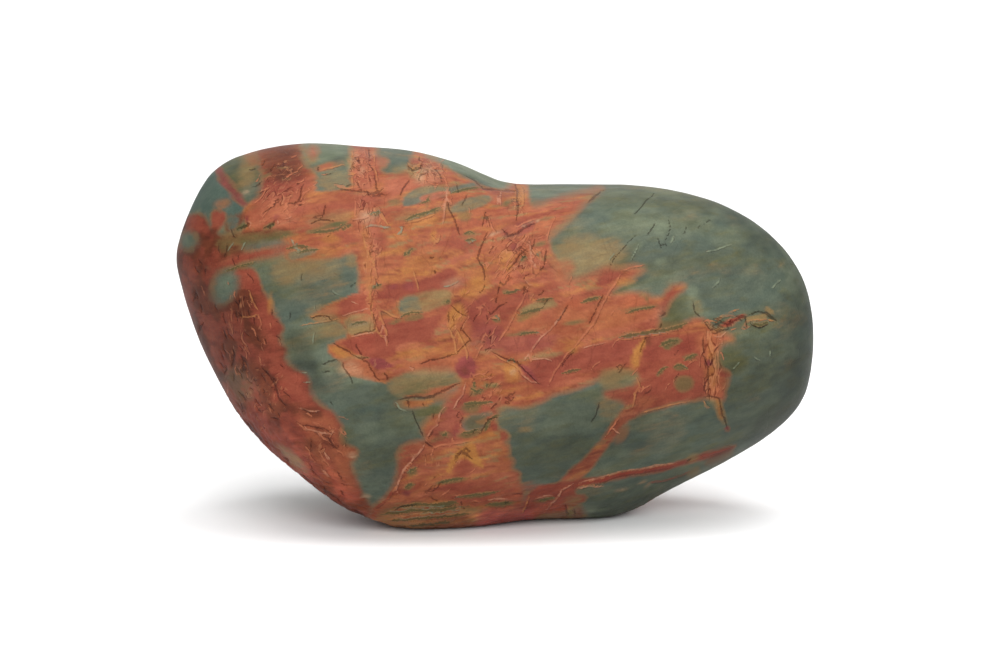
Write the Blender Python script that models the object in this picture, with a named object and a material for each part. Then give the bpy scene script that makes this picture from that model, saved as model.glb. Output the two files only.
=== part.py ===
"""Green dragon stone: one water-worn jasper cobble, standing on its narrow edge.

Metres, +Z up. X runs along the stone, Y through its thickness, and the broad
face that shows best looks towards -Y. The origin is the middle of the bounding
box at the height of the flat spot that the stone rests on.
"""

import math

import bmesh
import bpy
import numpy as np
from mathutils import Vector, noise

MM = 0.001

# The rim of the broad face in millimetres, (along the stone, above the rest), clockwise from
# the left end. It passes over the left hump, through the saddle and over the right hump.
RIM_MM = [
    (-98.0, 85.9), (-95.5, 95.5), (-92.0, 103.4), (-86.9, 111.4), (-80.2, 115.3),
    (-67.6, 118.2), (-55.4, 119.2), (-39.3, 118.2), (-23.9, 116.6), (-11.3, 113.4),
    (-1.9, 110.1), (4.4, 107.6), (13.8, 106.2), (32.7, 105.5), (45.3, 105.8),
    (61.0, 104.2), (77.0, 99.8), (90.9, 90.6), (99.3, 77.4), (102.3, 61.9),
    (101.8, 47.0), (99.0, 36.6), (90.2, 26.2), (75.4, 16.0), (57.8, 5.6),
    (49.4, -0.6), (41.0, -3.6), (20.0, -3.4), (-5.0, -3.5), (-25.0, -2.4),
    (-36.0, 2.2), (-46.0, 7.1), (-58.3, 16.6), (-69.6, 26.2), (-77.4, 34.9),
    (-85.8, 48.6), (-92.1, 61.9), (-96.4, 76.3),
]
RIM_STEPS = 12

# The heart of the stone, which every point of the surface can be seen from.
HEART = Vector((-4.0, 0.0, 60.0)) * MM

FRONT_DEPTH = 47.5 * MM
BACK_DEPTH = 44.5 * MM
FULLNESS = 2.35
THIN_TO_THE_RIGHT = 0.10
HALF_LENGTH = 100 * MM

# Near the middle of each broad face the sections are plain ovals, and the rim's own form
# comes in towards the edge.
OVAL_REACH = (98 * MM, 58 * MM)
OVAL_TO_RIM = 1.6

# The underside's keel runs askew, so its left foot stands forward of its right one.
KEEL_SKEW = 0.28

# Faces worn almost flat: outward direction, distance from the heart and softness of the edge.
WORN_FACES = [
    ("left shoulder", (-0.70, -0.65, -0.29), 72.5, 1.8),
    ("broad front", (0.05, -0.99, 0.10), 45.0, 5.0),
    ("front underside", (0.10, -0.74, -0.66), 62.0, 6.0),
    ("lower right", (0.42, -0.30, -0.86), 78.0, 3.0),
    ("rest", (0.0, 0.0, -1.0), 60.7, 1.4),
    ("back", (0.20, 0.97, 0.12), 41.5, 5.0),
    ("back left", (-0.62, 0.74, 0.26), 66.0, 4.0),
    ("back underside", (0.18, 0.72, -0.67), 57.0, 4.0),
    ("back right top", (0.55, 0.60, 0.58), 72.0, 4.0),
]

# Shallow hollows: middle, reach along X, Y and Z, and depth, in millimetres.
HOLLOWS = [
    ("saddle", (6.0, -8.0, 108.0), (16.0, 60.0, 24.0), 1.2),
    ("front dish", (46.0, -38.0, 52.0), (24.0, 20.0, 18.0), 0.9),
    ("back dish", (-34.0, 38.0, 62.0), (30.0, 20.0, 22.0), 2.6),
    ("between the feet", (17.0, -16.0, 1.0), (14.0, 16.0, 12.0), 1.4),
    ("left end scoop", (-98.0, 14.0, 70.0), (22.0, 16.0, 26.0), 1.8),
]

SWELL_SIZE = 34 * MM
SWELL_HEIGHT = 0.55 * MM
FINE_SIZE = 11 * MM
FINE_HEIGHT = 0.16 * MM

# The cube's grid is drawn out to the stone's proportions, which keeps its squares even.
GRID_CUTS = 22
GRID_STRETCH = Vector((1.0, 0.45, 0.62))

STONE_GREEN = (0.13, 0.16, 0.11, 1.0)


def rounded_loop(points, steps):
    """A closed smooth curve through points, as an array of its points."""
    p = np.array(points, float)
    before, after, beyond = np.roll(p, 1, 0), np.roll(p, -1, 0), np.roll(p, -2, 0)
    curve = []
    for t in np.arange(steps) / steps:
        curve.append(
            0.5 * (2 * p + (after - before) * t + (2 * before - 5 * p + 4 * after - beyond) * t**2
                   + (3 * p - before - 3 * after + beyond) * t**3)
        )
    return np.stack(curve, 1).reshape(-1, 2)


def rim_reach():
    """The rim as (angles, distances) from the heart, sorted by angle and closed at both ends."""
    rim = rounded_loop(RIM_MM, RIM_STEPS) * MM - np.array([HEART.x, HEART.z])
    angle = np.arctan2(rim[:, 1], rim[:, 0])
    order = np.argsort(angle)
    angle, reach = angle[order], np.hypot(*rim[order].T)
    turn = 2 * math.pi
    return np.r_[angle[-1] - turn, angle, angle[0] + turn], np.r_[reach[-1], reach, reach[0]]


def pillow_point(way, rim):
    """The point of the unworn stone in the unit direction way, from the heart."""
    across = math.hypot(way.x, way.z)
    swell = (across**FULLNESS + abs(way.y) ** FULLNESS) ** (-1 / FULLNESS)
    angle = math.atan2(way.z, way.x)
    oval = 1 / math.hypot(math.cos(angle) / OVAL_REACH[0], math.sin(angle) / OVAL_REACH[1])
    rim_share = across**OVAL_TO_RIM
    reach = oval + (float(np.interp(angle, *rim)) - oval) * rim_share
    x, z = (reach * swell * along for along in (way.x, way.z))
    depth = FRONT_DEPTH if way.y < 0 else BACK_DEPTH
    depth *= 1 - THIN_TO_THE_RIGHT * x / HALF_LENGTH
    y = depth * swell * way.y
    low = max(0.0, -z / HEART.z)
    return Vector((x, y + KEEL_SKEW * x * low**2, z))


def wear(point):
    """The point moved inwards where a worn face takes it off, with a softened edge."""
    for _, outward, distance, softness in WORN_FACES:
        normal, edge = Vector(outward).normalized(), softness * MM
        over = (point.dot(normal) - distance * MM) / edge
        point = point - normal * edge * float(np.logaddexp(0.0, over))
    return point


def hollow(point):
    """The point moved towards the heart where a shallow hollow lies."""
    sunk = 0.0
    for _, middle, reach, depth in HOLLOWS:
        offset = (point + HEART) / MM - Vector(middle)
        apart = sum((o / r) ** 2 for o, r in zip(offset, reach))
        sunk += depth * MM * math.exp(-apart)
    return point - point.normalized() * sunk


def roughen(point):
    """Broad swells and finer unevenness, which keep the surface from looking turned."""
    out = point.normalized()
    swell = noise.noise(point / SWELL_SIZE) * SWELL_HEIGHT
    fine = noise.noise(point / FINE_SIZE + Vector((7.0, 3.0, 5.0))) * FINE_HEIGHT
    return point + out * (swell + fine)


def worn_stone():
    """The whole stone as a closed mesh, from a cube's grid swelled to the stone's form."""
    bm = bmesh.new()
    bmesh.ops.create_cube(bm, size=2.0)
    bmesh.ops.subdivide_edges(bm, edges=bm.edges[:], cuts=GRID_CUTS, use_grid_fill=True)
    rim = rim_reach()
    for vert in bm.verts:
        even = Vector(math.tan(math.pi / 4 * c) for c in vert.co)
        way = (even.normalized() * GRID_STRETCH).normalized()
        vert.co = HEART + roughen(hollow(wear(pillow_point(way, rim))))
    return bm


def cut_rest(bm):
    """Cuts the underside off at the level of the rest and closes it with one flat face."""
    everything = bm.verts[:] + bm.edges[:] + bm.faces[:]
    cut = bmesh.ops.bisect_plane(
        bm, geom=everything, dist=1e-6, plane_co=(0, 0, 0), plane_no=(0, 0, -1), clear_outer=True
    )
    loop = [item for item in cut["geom_cut"] if isinstance(item, bmesh.types.BMEdge)]
    bmesh.ops.edgenet_fill(bm, edges=loop)
    bmesh.ops.recalc_face_normals(bm, faces=bm.faces[:])


def centre_on_box(mesh):
    """Slides the mesh so that the middle of its box is on the Z axis."""
    points = np.array([v.co for v in mesh.vertices])
    middle = (points.min(0) + points.max(0)) / 2
    for vert in mesh.vertices:
        vert.co -= Vector((middle[0], middle[1], 0))


def jasper():
    """Honed green jasper: no gloss coat, a soft sheen."""
    material = bpy.data.materials.new("green_jasper")
    material.use_nodes = True
    shader = material.node_tree.nodes["Principled BSDF"]
    shader.inputs["Base Color"].default_value = STONE_GREEN
    shader.inputs["Roughness"].default_value = 0.55
    shader.inputs["Metallic"].default_value = 0.0
    return material


def main():
    for old in list(bpy.data.objects):
        bpy.data.objects.remove(old)
    parts = bpy.data.collections.new("dragon_stone_parts")
    bpy.context.scene.collection.children.link(parts)

    bm = worn_stone()
    cut_rest(bm)
    mesh = bpy.data.meshes.new("stone")
    bm.to_mesh(mesh)
    bm.free()
    centre_on_box(mesh)
    mesh.shade_smooth()
    mesh.materials.append(jasper())
    parts.objects.link(bpy.data.objects.new("stone", mesh))


main()
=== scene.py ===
"""Green dragon stone: the looks of one honed jasper cobble, on a plain pale floor."""
import math
import random

import bmesh
import bpy
import numpy as np
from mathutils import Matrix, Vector, noise
from mathutils.bvhtree import BVHTree


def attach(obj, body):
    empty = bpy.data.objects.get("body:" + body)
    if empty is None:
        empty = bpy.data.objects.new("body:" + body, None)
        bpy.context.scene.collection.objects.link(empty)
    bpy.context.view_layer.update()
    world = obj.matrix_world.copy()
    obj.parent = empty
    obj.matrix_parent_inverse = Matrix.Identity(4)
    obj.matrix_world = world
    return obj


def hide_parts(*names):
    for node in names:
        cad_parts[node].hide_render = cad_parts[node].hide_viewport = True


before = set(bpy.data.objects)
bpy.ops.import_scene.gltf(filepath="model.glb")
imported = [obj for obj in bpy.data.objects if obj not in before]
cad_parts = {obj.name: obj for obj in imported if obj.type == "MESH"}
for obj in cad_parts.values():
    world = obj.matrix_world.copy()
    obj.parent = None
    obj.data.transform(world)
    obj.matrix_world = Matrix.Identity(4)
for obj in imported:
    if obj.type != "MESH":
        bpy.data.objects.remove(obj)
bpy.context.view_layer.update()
MM = 0.001

# The camera: a long lens ten degrees above the stone, square on to its broad face.
# It comes first because the stone's markings are traced in the picture's pixels.
PICTURE_WIDE, PICTURE_HIGH = 1000, 666
LOOKING_DOWN = math.radians(10)
STAND_OFF = 1.05
AIM = np.array([0.0011, 0.0, 0.0596])
SPAN_AT_STONE = 0.3145
SENSOR_WIDTH = 36.0

PIXEL = SPAN_AT_STONE / PICTURE_WIDE
LOOK = np.array([0.0, math.cos(LOOKING_DOWN), -math.sin(LOOKING_DOWN)])
UPWARD = np.array([0.0, math.sin(LOOKING_DOWN), math.cos(LOOKING_DOWN)])
CAMERA_PLACE = AIM - LOOK * STAND_OFF

camera = bpy.data.objects.new("camera", bpy.data.cameras.new("camera"))
camera.data.lens = SENSOR_WIDTH * STAND_OFF / SPAN_AT_STONE
camera.data.sensor_width = SENSOR_WIDTH
camera.location = CAMERA_PLACE
camera.rotation_euler = (math.pi / 2 - LOOKING_DOWN, 0, 0)
bpy.context.scene.collection.objects.link(camera)
bpy.context.scene.camera = camera


# The worn cobble: one dense skin over the whole stone. A cube's grid is swelled on to
# the solid from the stone's heart, finer on the broad front, and the solid's facets are
# smoothed away, so that only water-worn curves are left.
GRID = 128
GRID_STRETCH = np.array([1.0, 0.45, 0.62])
FRONT_SHARE = 0.2
HEART = Vector((-0.005, 0.0, 0.060))
SMOOTHINGS = 70
SMOOTH_IN, SMOOTH_OUT = 0.60, -0.62


def unit(rows):
    return rows / np.linalg.norm(rows, axis=1)[:, None]


def gather(edges, values):
    """For every vertex, the mean of its neighbours' values."""
    count = np.bincount(edges.ravel(), minlength=len(values))
    total = np.bincount(edges[:, 0], values[edges[:, 1]], len(values))
    total += np.bincount(edges[:, 1], values[edges[:, 0]], len(values))
    return total / count


grid = bmesh.new()
bmesh.ops.create_cube(grid, size=2.0)
bmesh.ops.subdivide_edges(grid, edges=grid.edges[:], cuts=GRID - 1, use_grid_fill=True)
skin = bpy.data.meshes.new("worn_cobble")
grid.to_mesh(skin)
grid.free()

corners = np.empty(len(skin.vertices) * 3)
skin.vertices.foreach_get("co", corners)
way = unit(np.tan(math.pi / 4 * corners.reshape(-1, 3)))
moved = way[:, 1] - FRONT_SHARE * (1 - way[:, 1] ** 2)
spread = np.sqrt((1 - moved**2) / np.maximum(1 - way[:, 1] ** 2, 1e-12))
way = unit(np.c_[way[:, 0] * spread, moved, way[:, 2] * spread] * GRID_STRETCH)

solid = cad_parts["stone"].data
tree = BVHTree.FromPolygons([v.co for v in solid.vertices], [p.vertices for p in solid.polygons])
reach = np.array([tree.ray_cast(HEART, Vector(w))[3] for w in way])
edges = np.empty(len(skin.edges) * 2, int)
skin.edges.foreach_get("vertices", edges)
edges = edges.reshape(-1, 2)
for step in range(SMOOTHINGS):
    reach += SMOOTH_IN * (gather(edges, reach) - reach)
    reach += SMOOTH_OUT * (gather(edges, reach) - reach)
place = np.array(HEART) + way * reach[:, None]
place[:, 2] = np.maximum(place[:, 2], 0)
skin.vertices.foreach_set("co", place.ravel())
skin.update()
outward = np.empty(len(place) * 3)
skin.vertices.foreach_get("normal", outward)
outward = outward.reshape(-1, 3)


# Where each point of the skin shows in the picture, in pixels. Behind the stone's main
# healed fracture the same beds show end for end, and each lesser fracture slips them.
MAIN_FRACTURE = 16 * MM
MIDDLE = np.array([496.5, 336.5])
SLIPS = [
    ("steep, left of the middle", (0.88, 0.25, -0.40), -24, (38, -26)),
    ("steep, right of the middle", (0.93, -0.20, 0.30), 30, (-30, 34)),
    ("low, across the back", (-0.30, 0.35, 0.89), 52, (44, 18)),
]
WANDER = [(1.5 * MM, 0.7), (7 * MM, 1.6)]
BELT_WANDER = (15 * MM, 16)
WANDER_SEED = 7
noise.seed_set(WANDER_SEED)


def drift(size, seed=0.0):
    """Smooth random vectors over the skin, with features of that size."""
    shift = Vector((seed, 2 * seed, -seed))
    return np.array([noise.noise_vector(Vector(p) / size + shift) for p in place])


def smooth(x):
    x = np.clip(x, 0, 1)
    return x * x * (3 - 2 * x)


def cloud(size, seed=0.0, octaves=3, stretch=(1, 1, 1)):
    """Smooth random numbers over the skin, laid along the beds, from about -1 to 1."""
    rows = np.c_[along, place[:, 1], across] / (np.array(stretch) * size)
    shift = Vector((seed, -seed, 3 * seed))
    return np.array([noise.fractal(Vector(r) + shift, 1.0, 2.0, octaves) for r in rows])


BED_TILT = math.radians(13)
along = place[:, 0] * math.cos(BED_TILT) + place[:, 2] * math.sin(BED_TILT)
across = place[:, 2] * math.cos(BED_TILT) - place[:, 0] * math.sin(BED_TILT) + 0.25 * place[:, 1]

from_camera = place - CAMERA_PLACE
depth = from_camera @ LOOK
focal = STAND_OFF / PIXEL
shown = np.c_[PICTURE_WIDE / 2 + focal * from_camera[:, 0] / depth,
              PICTURE_HIGH / 2 - focal * (from_camera @ UPWARD) / depth]
facing = -(unit(from_camera) * outward).sum(1)
behind = depth - STAND_OFF > MAIN_FRACTURE
for size, amount in WANDER:
    shown += amount * drift(size)[:, :2]
belt = smooth((0.42 - np.abs(facing + 0.3)) / 0.5)
shown += (BELT_WANDER[1] * belt)[:, None] * drift(BELT_WANDER[0], 5.0)[:, :2]
slipped = 2 * MIDDLE - shown
for name, normal, offset, slip in SLIPS:
    slipped[place @ np.array(normal) > offset * MM] += slip
shown = np.where(behind[:, None], slipped, shown)


# The stains: iron has turned the green jasper orange, brick red, rust and plum in blocks
# and beds. Each is traced by its outline in picture pixels and painted in order as a
# share of one pigment, with a crisp or a soft edge.
PIGMENTS = ["green", "teal", "moss", "celadon", "tan", "ochre",
            "orange", "salmon", "brick", "rust", "plum", "pale"]
shares = np.zeros((len(place), len(PIGMENTS)))
shares[:, 0] = 1


def paint(shares, pigment, cover, rows=slice(None)):
    """Lays a pigment over what is there already."""
    shares[rows] *= 1 - cover[:, None]
    shares[rows, PIGMENTS.index(pigment)] += cover


def rounded(outline):
    """The outline with its corners cut twice."""
    points = np.array(outline, float)
    for _ in range(2):
        after = np.roll(points, -1, 0)
        points = np.stack([0.75 * points + 0.25 * after, 0.25 * points + 0.75 * after], 1)
        points = points.reshape(-1, 2)
    return points


def outline_distance(points, outline):
    """How far outside an outline each point lies, negative inside."""
    inside = np.zeros(len(points), bool)
    nearest = np.full(len(points), np.inf)
    x, y = points.T
    for (ax, ay), (bx, by) in zip(outline, np.roll(outline, -1, 0)):
        dx, dy = bx - ax, by - ay
        t = np.clip(((x - ax) * dx + (y - ay) * dy) / (dx * dx + dy * dy), 0, 1)
        nearest = np.minimum(nearest, (x - ax - t * dx) ** 2 + (y - ay - t * dy) ** 2)
        if dy:
            inside ^= ((ay > y) != (by > y)) & (x < dx * (y - ay) / dy + ax)
    return np.where(inside, -1, 1) * np.sqrt(nearest)


def stain(pigment, edge, strength, outline):
    """Paints an outline whose edge fades over that many pixels."""
    points = rounded(outline) if edge > 2 else np.array(outline, float)
    low, high = points.min(0) - edge, points.max(0) + edge
    rows = np.flatnonzero(((shown > low) & (shown < high)).all(1))
    cover = strength * smooth(0.5 - outline_distance(shown[rows], points) / edge)
    paint(shares, pigment, cover, rows)


def lens_distance(points, middle, half_long, half_wide, tilt):
    """About how far outside a tilted oval each point lies."""
    turn = math.radians(tilt)
    x, y = (points - middle).T
    lengthways = (x * math.cos(turn) - y * math.sin(turn)) / half_long
    sideways = (x * math.sin(turn) + y * math.cos(turn)) / half_wide
    return (np.hypot(lengthways, sideways) - 1) * min(half_long, half_wide)


def lens(pigment, edge, strength, x, y, half_long, half_wide, tilt=0):
    """Paints a tilted oval."""
    reach = max(half_long, half_wide) + edge
    rows = np.flatnonzero((np.abs(shown - (x, y)) < reach).all(1))
    away = lens_distance(shown[rows], (x, y), half_long, half_wide, tilt)
    paint(shares, pigment, strength * smooth(0.5 - away / edge), rows)


# The broad face's main stained fields, cut off by fractures and drawn out along the beds.
FIELDS = [
    ("orange", 6, 1.0, [
        (256, 120), (305, 120), (303, 164), (316, 172), (317, 191), (351, 190), (351, 120),
        (376, 120), (377, 165), (384, 176), (406, 173), (412, 160), (420, 120), (432, 130),
        (437, 160), (447, 168), (462, 177), (474, 180), (484, 188), (497, 190), (510, 186),
        (511, 130), (527, 130), (527, 204), (540, 215), (548, 240), (551, 250), (560, 264),
        (564, 283), (564, 330), (380, 330), (358, 300), (358, 258), (353, 252), (333, 258),
        (300, 262), (288, 262), (283, 254), (288, 246), (262, 254), (243, 262), (226, 268),
        (207, 268), (207, 262), (226, 259), (243, 253), (262, 250), (262, 240), (246, 236),
        (240, 230), (247, 224), (243, 214), (247, 205), (262, 196), (264, 186), (260, 168)]),
    ("orange", 16, 1.0, [
        (520, 206), (545, 204), (560, 197), (575, 195), (592, 191), (602, 189), (596, 193),
        (585, 202), (574, 213), (560, 228), (543, 243), (520, 260), (515, 215)]),
    ("orange", 3, 1.0, [
        (358, 292), (345, 298), (330, 303), (316, 311), (309, 317), (320, 321), (330, 319),
        (341, 322), (349, 337), (338, 340), (334, 344), (327, 346), (327, 352), (331, 357),
        (341, 361), (344, 369), (350, 376), (362, 379), (380, 382), (386, 384), (392, 379),
        (405, 374), (420, 368), (456, 362), (470, 380), (470, 300)]),
    ("orange", 11, 1.0, [
        (380, 300), (540, 262), (564, 281), (580, 278), (600, 268), (607, 263), (612, 266),
        (640, 266), (646, 269), (640, 273), (626, 281), (613, 291), (613, 295), (640, 292),
        (660, 297), (668, 290), (676, 284), (686, 286), (684, 292), (670, 299), (661, 308),
        (657, 326), (690, 322), (693, 316), (706, 320), (716, 332), (733, 335), (733, 341),
        (722, 345), (713, 357), (716, 367), (730, 372), (725, 384), (724, 402), (718, 397),
        (700, 398), (670, 404), (641, 413), (630, 418), (628, 404), (614, 398), (604, 396),
        (604, 391), (620, 388), (636, 386), (638, 374), (620, 371), (604, 374), (592, 382), (575, 391),
        (553, 393), (543, 401), (525, 407), (499, 408), (470, 420), (455, 366), (430, 350)]),
    ("orange", 9, 1.0, [
        (470, 376), (463, 383), (445, 403), (438, 411), (424, 424), (421, 430), (427, 441),
        (410, 441), (399, 447), (397, 456), (401, 464), (400, 473), (393, 488), (378, 504),
        (366, 514), (365, 580), (524, 580), (524, 487), (518, 484), (521, 472), (511, 468), (514, 459), (507, 456),
        (509, 447), (503, 444), (509, 438), (505, 432), (497, 431), (495, 421), (498, 408),
        (505, 390)]),
    ("orange", 5, 1.0, [
        (628, 404), (640, 413), (625, 424), (614, 438), (606, 450), (598, 461), (585, 475),
        (578, 484), (556, 486), (570, 472), (580, 462), (588, 454), (594, 446), (602, 438),
        (611, 425), (620, 412)]),
    ("brick", 4, 1.0, [
        (520, 488), (566, 482), (600, 477), (640, 469), (682, 460), (706, 453), (736, 443), (736, 448),
        (708, 459), (682, 466), (655, 473), (640, 475), (610, 482), (590, 484), (577, 489), (574, 493), (585, 495), (588, 499),
        (580, 504), (572, 508), (560, 512), (545, 513), (530, 520), (520, 580)]),
    ("rust", 7, 1.0, [
        (160, 213), (186, 214), (196, 213), (205, 216), (210, 230), (220, 234), (236, 231),
        (262, 229), (283, 226), (292, 232), (290, 239), (275, 240), (262, 242), (252, 250),
        (236, 256), (222, 262), (206, 266), (212, 270), (228, 268), (240, 268), (254, 268),
        (257, 280), (262, 289), (267, 296), (270, 306), (269, 311), (273, 317), (279, 322),
        (283, 326), (283, 331), (279, 338), (280, 345), (287, 347), (288, 352), (285, 358),
        (288, 364), (294, 369), (301, 373), (308, 375), (308, 389), (313, 400), (322, 409),
        (334, 413), (336, 421), (341, 427), (341, 438), (347, 446), (356, 448), (357, 452),
        (352, 459), (352, 468), (356, 478), (360, 489), (368, 501), (374, 507), (368, 514),
        (350, 560), (250, 500), (140, 350), (140, 240)]),
]
for row in FIELDS:
    stain(*row)

# Beds and clouds too many to trace: pigment, the family it lies in, size, seed, stretch
# along, through and across the beds, level above which it shows, edge and strength.
BEDS = [
    ("salmon", "orange", 9 * MM, 2.0, (2.5, 1.5, 0.8), 0.16, 0.30, 0.6),
    ("brick", "orange", 4.5 * MM, 7.0, (4.0, 2.0, 0.8), 0.22, 0.20, 0.55),
    ("brick", "orange", 1.8 * MM, 9.0, (7.0, 3.0, 0.9), 0.22, 0.16, 0.5),
    ("ochre", "orange", 7 * MM, 14.0, (3.0, 2.0, 0.8), 0.26, 0.26, 0.35),
    ("ochre", "orange", 2.0 * MM, 12.0, (6.0, 3.0, 0.9), 0.32, 0.14, 0.45),
    ("tan", "orange", 1.8 * MM, 15.0, (6.0, 3.0, 0.9), 0.44, 0.12, 0.6),
    ("rust", "orange", 1.3 * MM, 18.0, (6.0, 3.0, 0.9), 0.42, 0.12, 0.5),
    ("brick", "rust", 5 * MM, 51.0, (1.5, 2.0, 1.6), 0.02, 0.40, 0.7),
    ("celadon", "green", 12 * MM, 21.0, (2.2, 1.5, 0.8), 0.16, 0.30, 0.4),
    ("teal", "green", 10 * MM, 24.0, (2.0, 1.5, 0.8), 0.22, 0.30, 0.25),
    ("moss", "green", 13 * MM, 36.0, (2.4, 1.5, 0.8), 0.18, 0.40, 0.3),
    ("tan", "green", 9 * MM, 27.0, (2.4, 2.0, 1.0), 0.30, 0.40, 0.15),
    ("moss", "green", 3.0 * MM, 33.0, (3.0, 2.0, 0.9), 0.30, 0.30, 0.25),
]
FAMILIES = {
    "green": ["green", "teal", "moss", "celadon"], "orange": ["orange", "salmon", "ochre"],
    "rust": ["rust"],
    "warm": ["tan", "ochre", "orange", "salmon", "brick", "rust", "plum", "pale"],
}


def family_share(family):
    return shares[:, [PIGMENTS.index(name) for name in FAMILIES[family]]].sum(1)


def bed(pigment, family, size, seed, stretch, level, edge, strength, where=1.0):
    """Paints a pigment where solid noise laid along the beds is above a level."""
    cover = smooth((cloud(size, seed, 3, stretch) - level) / edge + 0.5)
    paint(shares, pigment, strength * cover * family_share(family) * where)


for row in BEDS:
    bed(*row)


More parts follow.
